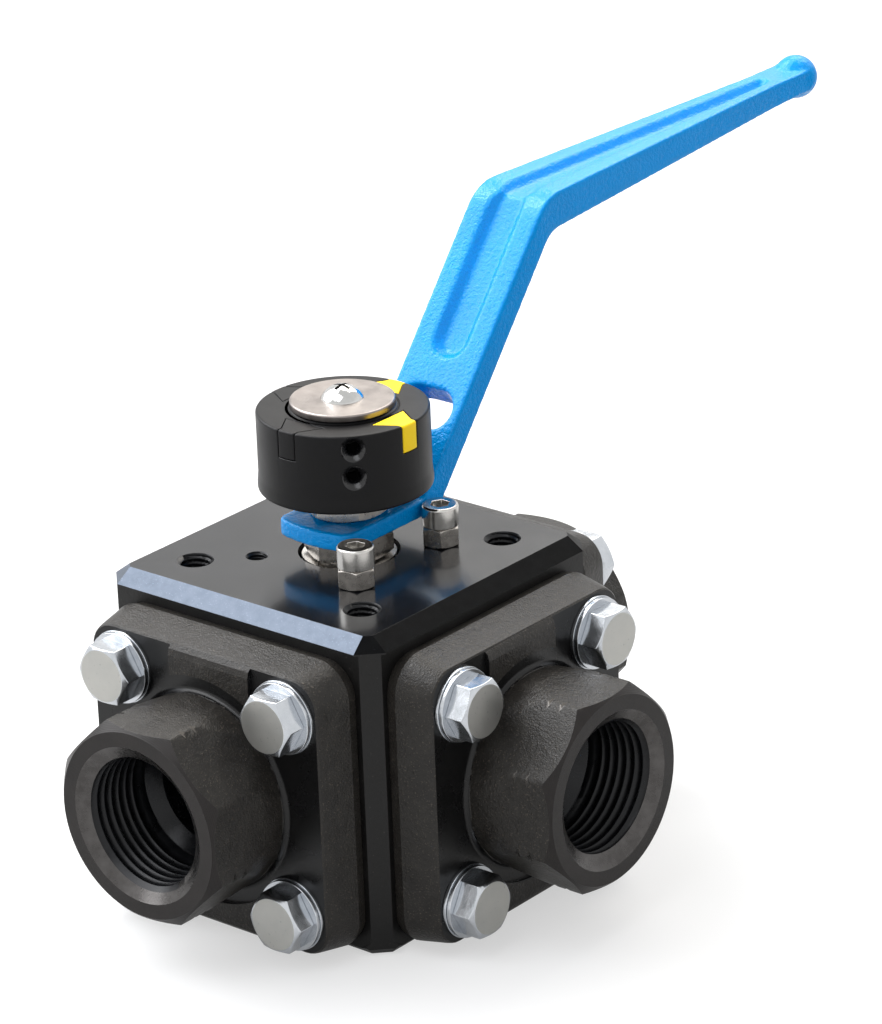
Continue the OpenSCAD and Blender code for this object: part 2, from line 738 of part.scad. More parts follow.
// Top view of the lever: straight sides, then a taper to the knob
module lever_plan() {
    end_half = handle_end_w / 2;
    half_turn = asin((lever_half - 3.5) / tail_r);
    tail = [for (i = [0:12]) let (a = -half_turn + 2 * half_turn * i / 12)
        [tail_r * sin(a), tail_r * (1 - cos(a)) - tail_reach]];
    corner = [lever_half, tail[12][1] + 0.9];
    right = fillet(tail[12], corner, [lever_half, taper_start], 3, 6);
    polygon(concat(tail, right,
        [[lever_half, taper_start], [end_half, taper_end],
         [end_half, knob_reach], [-end_half, knob_reach], [-end_half, taper_end],
         [-lever_half, taper_start]],
        [for (i = [6:-1:0]) [-right[i][0], right[i][1]]]));
}

// Puts a cutter that is drawn in +Z onto the arm's upper face, s along the arm
module on_arm(s) {
    translate([0, arm_foot + s * cos(arm_angle), plate_top + s * sin(arm_angle)])
        rotate([arm_angle, 0, 0]) children();
}

// A cone that cuts a relief with drafted walls below z = 0
module relief_tip(w) {
    translate([0, 0, -relief_depth])
        cylinder(r1 = w / 2 - relief_draft, r2 = w / 2 + relief_draft / relief_depth,
                 h = relief_depth + 1, $fn = hull_fn);
}

module lever_relief() {
    arm_len = (handle_z - plate_top) / sin(arm_angle);
    first = window_at + window_h / 2 + 12;
    handle_stop = knob_reach - 15;
    z_at = handle_z + (handle_end_z - handle_z) * 0.9;
    hull() {
        on_arm(first) relief_tip(relief_w);
        on_arm(arm_len - 3) relief_tip(relief_w);
    }
    hull() {
        translate([0, bend_y + 1, handle_z]) relief_tip(relief_w * 0.94);
        translate([0, handle_stop, z_at]) relief_tip(relief_end_w);
    }
}

module lever_window() {
    r = window_h / 2;
    back_r = r - window_draw * (1 + 1 / arm_t);
    front_r = r + window_draw / arm_t;
    on_arm(window_at) hull() for (x = [r - window_w / 2, window_w / 2 - r])
        translate([x, 0, -arm_t - 1]) cylinder(r1 = back_r, r2 = front_r, h = arm_t + 2, $fn = hull_fn);
}

module lever() {
    color([0.06, 0.45, 0.80]) difference() {
        union() {
            intersection() {
                rotate([90, 0, 90]) linear_extrude(2 * lever_half + 2, center = true) lever_side();
                linear_extrude(handle_end_z + handle_t) lever_plan();
            }
            translate([0, knob_reach, knob_z]) sphere(d = knob_d);
        }
        lever_relief();
        lever_window();
        translate([0, 0, plate_z - over]) flatted(stem_r + slip, stem_flats + 2 * slip, plate_t + 2 * over);
    }
}

module lock_nut() {
    color([0.55, 0.55, 0.54]) translate([0, 0, plate_top])
        rotate([0, 0, 26]) hex_nut(lock_nut_af, puck_z - plate_top, neck_r + slip);
}

// The indicator's outside: a moulded puck with a flared foot and a raised centre
module puck_blank() {
    e = puck_edge;
    rotate_extrude() polygon(concat(
        [[0, puck_z], [puck_r + puck_flare - 0.3, puck_z], [puck_r + puck_flare, puck_z + 0.3],
         [puck_r + puck_flare, puck_z + 1.5], [puck_r, puck_z + 4]],
        [for (i = [0:4]) [puck_r - e + e * cos(i * 22.5), puck_top - e + e * sin(i * 22.5)]],
        [[puck_hub_d / 2 + 0.6, puck_top], [puck_hub_d / 2, hub_top], [0, hub_top]]));
}

// Plan of an arrow that points inwards along +X, from the rim to its wide base
module arrow_plan(grow) {
    w = arrow_w / 2 + grow;
    s = arrow_stem_w / 2 + grow;
    polygon([[arrow_base - grow, -w], [arrow_base + arrow_head, -s], [puck_d, -s],
             [puck_d, s], [arrow_base + arrow_head, s], [arrow_base - grow, w]]);
}

// The L-shaped space of an arrow: over the top and down the side
module arrow_space(grow) {
    difference() {
        translate([0, 0, puck_top - arrow_drop - grow])
            linear_extrude(arrow_drop + puck_hub_h) arrow_plan(grow);
        translate([0, 0, puck_z]) cylinder(r = puck_r - arrow_t - grow, h = puck_h - arrow_t - grow);
    }
}

module arrows(turns, tint) {
    color(tint) intersection() {
        for (a = turns) rotate([0, 0, a]) arrow_space(0);
        puck_blank();
    }
}

module dowel_hole() {
    sink = (dowel_mouth_d - dowel_d) / 2;
    rotate([0, 0, -43]) rotate([0, 90, 0]) {
        translate([0, 0, puck_r - 8]) cylinder(d = dowel_d, h = 10);
        translate([0, 0, puck_r - sink]) cylinder(d1 = dowel_d, d2 = dowel_mouth_d + 2, h = sink + 1);
    }
}

module indicator() {
    color([0.13, 0.13, 0.13]) difference() {
        puck_blank();
        for (a = [0:90:270]) rotate([0, 0, a]) arrow_space(arrow_gap);
        translate([0, 0, puck_top - 0.35]) ring(puck_ring_d / 2, puck_ring_d / 2 - 0.5, puck_hub_h);
        translate([0, 0, puck_z - over]) flatted(neck_r + slip, indicator_flats + 2 * slip,
                                                 stem_top - puck_z + over + neighbour_gap);
        cylinder(d = top_screw_d + 0.4, h = 2 * puck_top);
        for (k = [0, 1]) translate([0, 0, puck_top - 3.2 - k * dowel_spacing]) dowel_hole();
    }
}

module cover_washer() {
    color([0.75, 0.74, 0.72]) translate([0, 0, hub_top]) difference() {
        union() {
            cylinder(d = cover_washer_d, h = cover_washer_t - 0.3);
            translate([0, 0, cover_washer_t - 0.3])
                cylinder(d1 = cover_washer_d, d2 = cover_washer_d - 0.6, h = 0.3);
        }
        translate([0, 0, -over]) cylinder(d = top_screw_d + 0.4, h = cover_washer_t + 2 * over);
    }
}

// A domed head with a cross recess, and its shank down into the stem
module indicator_screw() {
    head_r = top_screw_head_d / 2;
    dome_r = (head_r * head_r + top_screw_head_h * top_screw_head_h) / 2 / top_screw_head_h;
    color([0.80, 0.80, 0.80]) difference() {
        union() {
            translate([0, 0, cover_top]) intersection() {
                translate([0, 0, top_screw_head_h - dome_r]) sphere(r = dome_r);
                cylinder(r = head_r, h = top_screw_head_h);
            }
            translate([0, 0, stem_top]) cylinder(d = top_screw_d, h = cover_top - stem_top + eps);
            translate([0, 0, cover_top - top_screw_len])
                cylinder(r = top_screw_tap_r - thread_slip, h = top_screw_len);
        }
        for (a = [0, 90]) rotate([0, 0, a]) translate([0, 0, cover_top + top_screw_head_h])
            cube([4.6, 0.9, 3.6], center = true);
    }
}

valve_body();
color([0.20, 0.19, 0.18]) on_port(FRONT) cap();  // front_cap
color([0.20, 0.19, 0.18]) on_port(SIDE) rotate([0, 0, 180]) cap();  // side_cap
color([0.20, 0.19, 0.18]) on_port(REAR) cap();  // rear_cap
cap_bolts(FRONT);  // front_cap_bolts
cap_bolts(SIDE);  // side_cap_bolts
cap_bolts(REAR);  // rear_cap_bolts
cap_washers(FRONT);  // front_cap_washers
cap_washers(SIDE);  // side_cap_washers
cap_washers(REAR);  // rear_cap_washers
cap_oring(FRONT);  // front_cap_oring
cap_oring(SIDE);  // side_cap_oring
cap_oring(REAR);  // rear_cap_oring
seat(FRONT);  // front_seat
seat(SIDE);  // side_seat
seat(REAR);  // rear_seat
seat(BLIND);  // blind_seat
ball();
stem();
thrust_washer();
stem_oring();
packing(0);  // lower_packing
packing(1);  // upper_packing
gland_ring();
disc_spring(0);  // lower_disc_spring
disc_spring(1);  // upper_disc_spring
gland_nut();
stop_nuts();
stop_screws();
lever();
lock_nut();
indicator();
arrows([0, 90], [0.98, 0.82, 0.15]);  // yellow_arrows
arrows([180, 270], [0.12, 0.12, 0.12]);  // black_arrows
cover_washer();
indicator_screw();
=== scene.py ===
"""Looks of a three-port ball valve: its finishes, its cut threads, its rounded skins, light and camera.

Sizes are in millimetres where a name ends in _mm, and in metres otherwise. Every skin starts as a merged
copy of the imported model's own node, so that it sits exactly where the node sits.
"""

from __future__ import annotations

import logging
import math
from dataclasses import dataclass, field
from enum import Enum, IntEnum
from typing import Callable, Iterable, Mapping, Sequence

import bmesh
import bpy
from mathutils import Euler, Matrix, Vector

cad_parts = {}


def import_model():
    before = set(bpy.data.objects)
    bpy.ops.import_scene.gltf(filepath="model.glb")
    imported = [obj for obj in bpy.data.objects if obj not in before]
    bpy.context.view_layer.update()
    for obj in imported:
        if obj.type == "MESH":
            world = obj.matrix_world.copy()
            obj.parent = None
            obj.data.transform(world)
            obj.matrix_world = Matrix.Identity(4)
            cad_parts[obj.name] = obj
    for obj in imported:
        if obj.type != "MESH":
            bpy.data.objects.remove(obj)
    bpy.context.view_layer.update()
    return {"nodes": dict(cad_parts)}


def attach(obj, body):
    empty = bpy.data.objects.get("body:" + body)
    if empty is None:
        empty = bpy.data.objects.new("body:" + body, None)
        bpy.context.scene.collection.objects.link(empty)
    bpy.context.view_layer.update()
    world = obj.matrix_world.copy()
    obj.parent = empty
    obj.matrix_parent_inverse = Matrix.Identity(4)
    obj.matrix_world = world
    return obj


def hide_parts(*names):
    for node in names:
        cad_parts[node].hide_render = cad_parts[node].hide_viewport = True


LOG = logging.getLogger("valve")
MM = 0.001
# Height of the port axes below the pad, in metres
AXIS_Z = -0.0402
# Empty material slot that a bevel's faces are put on, so that they can be told from the faces around them
EDGE = 5


class Port(Enum):
    """The three piped sides of the block: the node prefix and the turn about the stem, in degrees."""

    FRONT = ("front", 0.0)
    SIDE = ("side", 90.0)
    REAR = ("rear", 180.0)

    @property
    def prefix(self) -> str:
        """The port's name in the node names."""
        return self.value[0]

    @property
    def turn(self) -> float:
        """The port's turn about the stem, in radians."""
        return math.radians(self.value[1])

    def matrix(self, axis_z: float) -> Matrix:
        """Places a shape drawn along +Z from the valve's centre on this port.

        Args:
            axis_z: Height of the port axes, in metres.

        Returns:
            The matrix that turns +Z into the port's outward direction and keeps +Y upright.
        """
        lift = Matrix.Translation((0, 0, axis_z))
        return Matrix.Rotation(self.turn, 4, "Z") @ lift @ Matrix.Rotation(math.pi / 2, 4, "X")


class Body(Enum):
    """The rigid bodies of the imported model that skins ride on. The ball's own node needs none."""

    VALVE = "valve"
    SPINDLE = "spindle"


class BlockFace(IntEnum):
    """Places in the block's list of finishes."""

    SIDE = 0
    PAD = 1
    CHAMFER = 2
    TAPPED = 3
    SHADED_CHAMFER = 4


class CapFace(IntEnum):
    """Places in a cap's list of finishes."""

    FORGED = 0
    TURNED = 1
    MILLED_AND_SHADE = 2
    THREAD = 3
    WORN_AND_HIGHLIGHT = 4
    BORED_AND_SHADE = 5
    SUNK = 6
    GROOVE = 7


def seen_directly(tree: bpy.types.NodeTree, path: Mapping[str, bpy.types.NodeSocket]) -> bpy.types.NodeSocket:
    """Tells rays that reach the background straight or through glass from all others.

    Args:
        tree: The material's or the world's tree.
        path: The outputs of its Light Path node.

    Returns:
        One for those rays, and zero for all others.
    """
    ends = {0: path["Is Camera Ray"], 1: path["Is Transmission Ray"]}
    return add(tree, "ShaderNodeMath", {"operation": "MAXIMUM"}, ends).outputs[0]


def linear(colour: str) -> tuple[float, float, float, float]:
    """Turns an sRGB hex colour into Blender's linear colour.

    Args:
        colour: Six hex digits, with or without the leading mark.

    Returns:
        Linear red, green and blue, and an alpha of one.
    """
    digits = colour.lstrip("#")
    parts = [int(digits[i : i + 2], 16) / 255 for i in (0, 2, 4)]
    r, g, b = [p / 12.92 if p <= 0.04045 else ((p + 0.055) / 1.055) ** 2.4 for p in parts]
    return (r, g, b, 1.0)


def add(
    tree: bpy.types.NodeTree,
    kind: str,
    settings: Mapping[str | int, object] | None = None,
    links: Mapping[str | int, bpy.types.NodeSocket] | None = None,
) -> bpy.types.Node:
    """Adds one node with its settings and links.

    Args:
        tree: The node tree to add to.
        kind: The node's type name.
        settings: Values. A key that is a number or starts with a capital is an input socket, any other a property.
        links: Sockets to link into the node's inputs.

    Returns:
        The new node.
    """
    node = tree.nodes.new(kind)
    for key, value in (settings or {}).items():
        if isinstance(key, int) or key[0].isupper():
            node.inputs[key].default_value = value
        else:
            setattr(node, key, value)
    for key, source in (links or {}).items():
        tree.links.new(source, node.inputs[key])
    return node


@dataclass(frozen=True)
class Grain:
    """One layer of surface relief: the size of its features and its height, both real sizes."""

    size_mm: float
    height_mm: float
    detail: float = 3.0


@dataclass(frozen=True)
class Lay:
    """Tool marks of a turned face: fine rings around an axis."""

    spacing_mm: float
    height_mm: float
    centre: tuple[float, float, float] = (0.0, 0.0, 0.0)
    turn: tuple[float, float, float] = (0.0, 0.0, 0.0)


@dataclass(frozen=True)
class Finish:
    """A surface finish: two tones that mix in patches, a roughness range, relief and an optional clear coat."""

    name: str
    dark: str
    light: str
    patch_mm: float
    roughness: tuple[float, float]
    metallic: float = 0.0
    specular: float = 0.5
    coat: float = 0.0
    coat_roughness: float = 0.1
    grains: tuple[Grain, ...] = ()
    lay: Lay | None = None
    speck: str | None = None
    speck_mm: float = 1.0
    speck_share: float = 0.0
    patch_contrast: float = 1.0
    tint: str = "#ffffff"

    def build(self) -> bpy.types.Material:
        """Makes the material.

        Returns:
            The new material.
        """
        material = bpy.data.materials.new(self.name)
        material.use_nodes = True
        tree = material.node_tree
        tree.nodes.clear()
        place = add(tree, "ShaderNodeTexCoord").outputs["Object"]
        patch = add(
            tree,
            "ShaderNodeTexNoise",
            {"Scale": 1 / (self.patch_mm * MM), "Detail": 4.0, "Roughness": 0.55},
            {"Vector": place},
        ).outputs["Fac"]
        half = 0.22 / self.patch_contrast
        spread = add(
            tree,
            "ShaderNodeMapRange",
            {"From Min": 0.5 - half, "From Max": 0.5 + half},
            {"Value": patch},
        ).outputs["Result"]
        tone = add(
            tree,
            "ShaderNodeMix",
            {"data_type": "RGBA", 6: linear(self.dark), 7: linear(self.light)},
            {"Factor": spread},
        ).outputs[2]
        if self.speck:
            tone = self.specks(tree, place, tone)
        rough = add(
            tree,
            "ShaderNodeMapRange",
            {"From Min": 0.3, "From Max": 0.7, "To Min": self.roughness[0], "To Max": self.roughness[1]},
            {"Value": patch},
        ).outputs["Result"]
        shader = add(
            tree,
            "ShaderNodeBsdfPrincipled",
            {
                "Metallic": self.metallic,
                "Specular IOR Level": self.specular,
                "Specular Tint": linear(self.tint),
                "Coat Weight": self.coat,
                "Coat Roughness": self.coat_roughness,
            },
            {"Base Color": tone, "Roughness": rough},
        )
        relief = self.relief(tree, place)
        if relief is not None:
            tree.links.new(relief, shader.inputs["Normal"])
            if self.coat:
                tree.links.new(relief, shader.inputs["Coat Normal"])
        add(tree, "ShaderNodeOutputMaterial", links={"Surface": shader.outputs["BSDF"]})
        return material

    def specks(
        self, tree: bpy.types.NodeTree, place: bpy.types.NodeSocket, tone: bpy.types.NodeSocket
    ) -> bpy.types.NodeSocket:
        """Mixes small worn specks of another colour into the tone.

        Args:
            tree: The material's tree.
            place: The object coordinates.
            tone: The colour so far.

        Returns:
            The mixed colour.
        """
        spots = add(
            tree,
            "ShaderNodeTexNoise",
            {"Scale": 1 / (self.speck_mm * MM), "Detail": 2.0},
            {"Vector": place},
        ).outputs["Fac"]
        edge = 0.72 - 0.25 * self.speck_share
        share = add(
            tree,
            "ShaderNodeMapRange",
            {"From Min": edge, "From Max": edge + 0.05},
            {"Value": spots},
        ).outputs["Result"]
        return add(
            tree,
            "ShaderNodeMix",
            {"data_type": "RGBA", 7: linear(self.speck or self.light)},
            {"Factor": share, 6: tone},
        ).outputs[2]

    def relief(self, tree: bpy.types.NodeTree, place: bpy.types.NodeSocket) -> bpy.types.NodeSocket | None:
        """Stacks the bump layers, the coarsest first.

        Args:
            tree: The material's tree.
            place: The object coordinates.

        Returns:
            The last layer's normal, or None where the finish has no relief.
        """
        normal: bpy.types.NodeSocket | None = None
        for grain in self.grains:
            height = add(
                tree,
                "ShaderNodeTexNoise",
                {"Scale": 1 / (grain.size_mm * MM), "Detail": grain.detail, "Roughness": 0.6},
                {"Vector": place},
            ).outputs["Fac"]
            normal = self.bump(tree, height, grain.height_mm, normal)
        if self.lay:
            turned = add(
                tree,
                "ShaderNodeMapping",
                {"vector_type": "TEXTURE", "Location": self.lay.centre, "Rotation": self.lay.turn},
                {"Vector": place},
            ).outputs[0]
            rings = add(
                tree,
                "ShaderNodeTexWave",
                {
                    "wave_type": "RINGS",
                    "rings_direction": "Z",
                    "Scale": math.tau / (20 * self.lay.spacing_mm * MM),
                    "Distortion": 0.6,
                    "Detail": 1.0,
                    "Detail Scale": 2.0,
                },
                {"Vector": turned},
            ).outputs["Fac"]
            normal = self.bump(tree, rings, self.lay.height_mm, normal)
        return normal

    def bump(
        self,
        tree: bpy.types.NodeTree,
        height: bpy.types.NodeSocket,
        height_mm: float,
        below: bpy.types.NodeSocket | None,
    ) -> bpy.types.NodeSocket:
        """Adds one bump layer.

        Args:
            tree: The material's tree.
            height: The layer's pattern.
            height_mm: Its real height.
            below: The normal of the layer under it, or None for the first one.

        Returns:
            The layer's normal.
        """
        links = {"Height": height} if below is None else {"Height": height, "Normal": below}
        return add(tree, "ShaderNodeBump", {"Strength": 1.0, "Distance": height_mm * MM}, links).outputs[0]


@dataclass
class Finishes:
    """Every finish of the valve, named for what the surface is and how it was made."""

    made: dict[str, bpy.types.Material] = field(default_factory=dict)

    def use(self, finish: Finish) -> bpy.types.Material:
        """Returns the finish's material, built once.

        Args:
            finish: The finish.

        Returns:
            Its material.
        """
        if finish.name not in self.made:
            self.made[finish.name] = finish.build()
        return self.made[finish.name]


# Forged steel, zinc phosphated and oiled: warm near-black with a coarse sandy skin
FORGED = Finish(
    "forged_phosphated_steel", "#201e1c", "#2c2a27", 5.0, (0.29, 0.4), specular=0.3,
    grains=(Grain(6.0, 0.25, 2.0), Grain(0.85, 0.13, 2.0), Grain(0.4, 0.12, 1.0)),
    speck="#4b453e", speck_mm=0.4, speck_share=0.35,
)


def turned_phosphate(port: Port) -> Finish:
    """Turned faces of a cap under the same coating: smoother, with faint rings around the port.

    Args:
        port: The port whose axis the rings follow.

    Returns:
        The finish.
    """
    turn = (math.pi / 2, 0.0, port.turn)
    return Finish(
        f"turned_phosphated_steel_{port.prefix}", "#211f1e", "#2a2726", 7.0, (0.3, 0.38), specular=0.2,
        grains=(Grain(0.6, 0.02, 2.0),), lay=Lay(0.3, 0.02, (0.0, 0.0, AXIS_Z), turn),
    )


# Milled strips and turned groove of a cap: bare cut steel under a thin dark coat, nearly smooth; its near-black colour
# is partly painted shade for faces shaded by the boss and the bolts
MILLED_AND_SHADE = Finish(
    "milled_phosphated_steel_and_painted_shade", "#0c0c0d", "#121212", 9.0, (0.24, 0.32), specular=0.35,
    grains=(Grain(1.2, 0.02, 2.0), Grain(0.4, 0.008, 2.0)),
)
# Rubbed edges of the caps' turned faces, where the coating is worn to pale metal; the pale bevel faces are partly a
# painted highlight for the light caught along the boss's front edges
WORN_AND_HIGHLIGHT = Finish(
    "rubbed_edge_steel_and_painted_highlight", "#4c4a49", "#77757a", 1.5, (0.3, 0.4), metallic=0.6, specular=0.5,
    grains=(Grain(0.4, 0.02, 2.0),),
)
# Countersink of a port, cut after coating: bare dark steel
CUT = Finish(
    "cut_countersink_steel", "#4a4847", "#5d5b5a", 3.0, (0.24, 0.32), metallic=1.0,
    grains=(Grain(0.5, 0.02, 2.0),),
)
# Grooves turned across a boss's edges: cut steel, darkened by handling
NICK = Finish(
    "turned_groove_steel", "#3e3c3a", "#4a4846", 2.0, (0.24, 0.32), metallic=1.0, grains=(Grain(0.5, 0.02, 2.0),),
)
# Bored shoulder below the thread: cut steel with an oil film, a dull mirror, its colour darkened as painted shade so
# that the shoulder reads as the dark depth of the bore
BORED_AND_SHADE = Finish(
    "bored_steel_shoulder_and_painted_shade", "#0c0d10", "#16181c", 3.0, (0.22, 0.3), metallic=0.3, specular=0.4,
    grains=(Grain(0.8, 0.01, 2.0),),
)
# Thread flanks cut through the coating's oil: darker and shinier than the face
THREAD = Finish(
    "tapped_thread_steel", "#101113", "#1c1d20", 2.0, (0.26, 0.36), metallic=0.3, specular=0.4,
    grains=(Grain(0.6, 0.01, 2.0),),
)
# Milled pad, black oxide with an oil film: mirror-like at a low angle, with faint cutter marks
PAD = Finish(
    "oiled_black_oxide_pad", "#0a0b0d", "#121317", 18.0, (0.14, 0.22), specular=0.5, coat=0.3, coat_roughness=0.08,
    grains=(Grain(9.0, 0.01, 2.0), Grain(0.5, 0.004, 2.0)),
)
# Milled edge chamfer: the same oxide over coarser marks, so that it catches the light as a pale blue-grey
CHAMFER = Finish(
    "milled_chamfer_steel", "#4a525d", "#59616d", 2.6, (0.36, 0.44), metallic=0.8, specular=0.5,
    grains=(Grain(0.3, 0.022, 3.0),), speck="#6f7885", speck_mm=0.3, speck_share=0.25,
)
# The chamfer over the side port: a nearly black copy of the milled chamfer finish, painted shade for the chamfer that
# faces away from the light
SHADED_CHAMFER = Finish(
    "chamfer_steel_painted_shade", "#060607", "#0b0c0d", 3.0, (0.3, 0.4), specular=0.05,
    grains=(Grain(0.3, 0.022, 3.0),), speck="#1c1e22", speck_mm=0.3, speck_share=0.2,
)
# Side walls of the block: milled bar skin under dull black oxide, darkened further as painted shade for the shaded
# strips between the flanges and the block's corners
BLOCK_SIDE_AND_SHADE = Finish(
    "black_oxide_block_side_and_painted_shade", "#080808", "#100f0e", 9.0, (0.36, 0.48), specular=0.35,
    grains=(Grain(3.0, 0.05, 2.0), Grain(0.6, 0.05, 2.0)), speck="#2b2927", speck_mm=0.8, speck_share=0.15,
)
# Bright zinc plate: a soft bluish mirror with tiny dents
ZINC = Finish(
    "bright_zinc_plate", "#bcc1c7", "#d9dce0", 4.0, (0.17, 0.27), metallic=1.0, patch_contrast=0.6,
    grains=(Grain(3.0, 0.05, 1.0), Grain(0.6, 0.008, 2.0)),
)
# Zinc on a cold-headed bolt's flat end: greyer and duller than the flanks
ZINC_FLAT = Finish(
    "dull_zinc_plate", "#aeafac", "#c3c2bd", 7.0, (0.4, 0.48), metallic=1.0, patch_contrast=0.6,
    grains=(Grain(0.9, 0.008, 3.0), Grain(0.25, 0.004, 2.0)), speck="#929395", speck_mm=0.6, speck_share=0.1,
)
# Stainless bar, turned: neutral and clean
STAINLESS = Finish(
    "turned_stainless_steel", "#b0aeaa", "#cecbc7", 4.0, (0.2, 0.3), metallic=1.0,
    grains=(Grain(0.5, 0.004, 2.0),), lay=Lay(0.35, 0.01),
)
# Stainless socket screws: polished all over, so without rings
SCREW = Finish(
    "polished_stainless_screw", "#c2c0bc", "#dcdad6", 4.0, (0.16, 0.24), metallic=1.0,
    grains=(Grain(0.5, 0.003, 2.0),),
)
# Brushed stainless washer: warm grey with rings from the brush
BRUSHED = Finish(
    "brushed_stainless_washer", "#8d8682", "#a19a96", 3.0, (0.28, 0.38), metallic=1.0,
    grains=(Grain(0.4, 0.006, 3.0),), lay=Lay(0.3, 0.01),
)
# Plain machined nut steel: mid grey, a little brown
NUT = Finish(
    "machined_nut_steel", "#a19d98", "#bdb8b2", 2.0, (0.22, 0.34), metallic=1.0,
    grains=(Grain(0.6, 0.012, 3.0),),
)
# Powder coat over a sand casting: saturated blue, glossy, with orange peel over a lumpy skin
POWDER = Finish(
    "blue_powder_coat", "#008fdf", "#0097ea", 12.0, (0.1, 0.17), specular=0.42,
    grains=(Grain(6.0, 0.1, 2.0), Grain(0.9, 0.22, 2.0), Grain(0.4, 0.03, 1.0)), tint="#c8eaff",
)
# The same coat on the lever's drafted sides with far less shine: a copy as painted shade, so that the sides do not
# show the pale floor
POWDER_SIDE_SHADED = Finish(
    "blue_powder_coat_painted_shade_sides", "#008fdf", "#0097ea", 12.0, (0.14, 0.22), specular=0.1,
    grains=(Grain(6.0, 0.1, 2.0), Grain(0.9, 0.22, 2.0), Grain(0.4, 0.03, 1.0)), tint="#c8eaff",
)
# Glass-filled nylon, moulded with a fine spark texture: soft black
NYLON = Finish(
    "moulded_black_nylon", "#0a0a0b", "#0e0e10", 8.0, (0.34, 0.42), specular=0.2,
    grains=(Grain(0.35, 0.01, 2.0),),
)
# Nylon where a drill has cut it: streaky and glossy
DRILLED_NYLON = Finish(
    "drilled_black_nylon", "#0d0d0e", "#17171a", 1.5, (0.12, 0.24), specular=0.6, grains=(Grain(0.5, 0.04, 2.0),),
)
# Coloured nylon insert
YELLOW = Finish(
    "moulded_yellow_nylon", "#ffd60c", "#ffdc1a", 6.0, (0.4, 0.5), specular=0.25, grains=(Grain(0.4, 0.008, 2.0),),
)
# Fluoroplastic seats and packings: waxy off-white
FLUOROPLASTIC = Finish("white_fluoroplastic", "#e4e2d8", "#efeee8", 5.0, (0.4, 0.5), grains=(Grain(0.5, 0.004),))
# Nitrile rubber
NITRILE = Finish("black_nitrile_rubber", "#101010", "#191919", 3.0, (0.5, 0.62), grains=(Grain(0.4, 0.006),))
# Hard chrome on the ball: a clear, slightly cool mirror
CHROME = Finish(
    "polished_hard_chrome", "#d4d7db", "#e0e2e5", 10.0, (0.05, 0.09), metallic=1.0, grains=(Grain(3.0, 0.002),),
)
# Bright nickel on the small cap screw: a clean mirror
NICKEL = Finish(
    "bright_nickel_screw", "#c9c9c7", "#dddddb", 4.0, (0.08, 0.14), metallic=1.0, grains=(Grain(1.2, 0.05, 1.0),),
)


@dataclass(frozen=True)
class Patch:
    """A face seen in a frame of its own, in millimetres."""

    points: tuple[Vector, ...]
    normal: Vector
    edge: bool

    @property
    def radius(self) -> float:
        """Mean distance of the corners from the frame's Z axis."""
        return sum(math.hypot(p.x, p.y) for p in self.points) / len(self.points)

    @property
    def depth(self) -> float:
        """Mean height of the corners."""
        return sum(p.z for p in self.points) / len(self.points)

    @property
    def lowest(self) -> float:
        """Height of the lowest corner."""
        return min(p.z for p in self.points)

    @property
    def highest(self) -> float:
        """Height of the highest corner."""
        return max(p.z for p in self.points)

    def off(self, spots: Iterable[tuple[float, float]]) -> float:
        """Largest distance of a corner from its nearest spot.

        Args:
            spots: Places across the Z axis.

        Returns:
            The distance.
        """
        places = list(spots)
        return max(min(math.hypot(p.x - x, p.y - y) for x, y in places) for p in self.points)


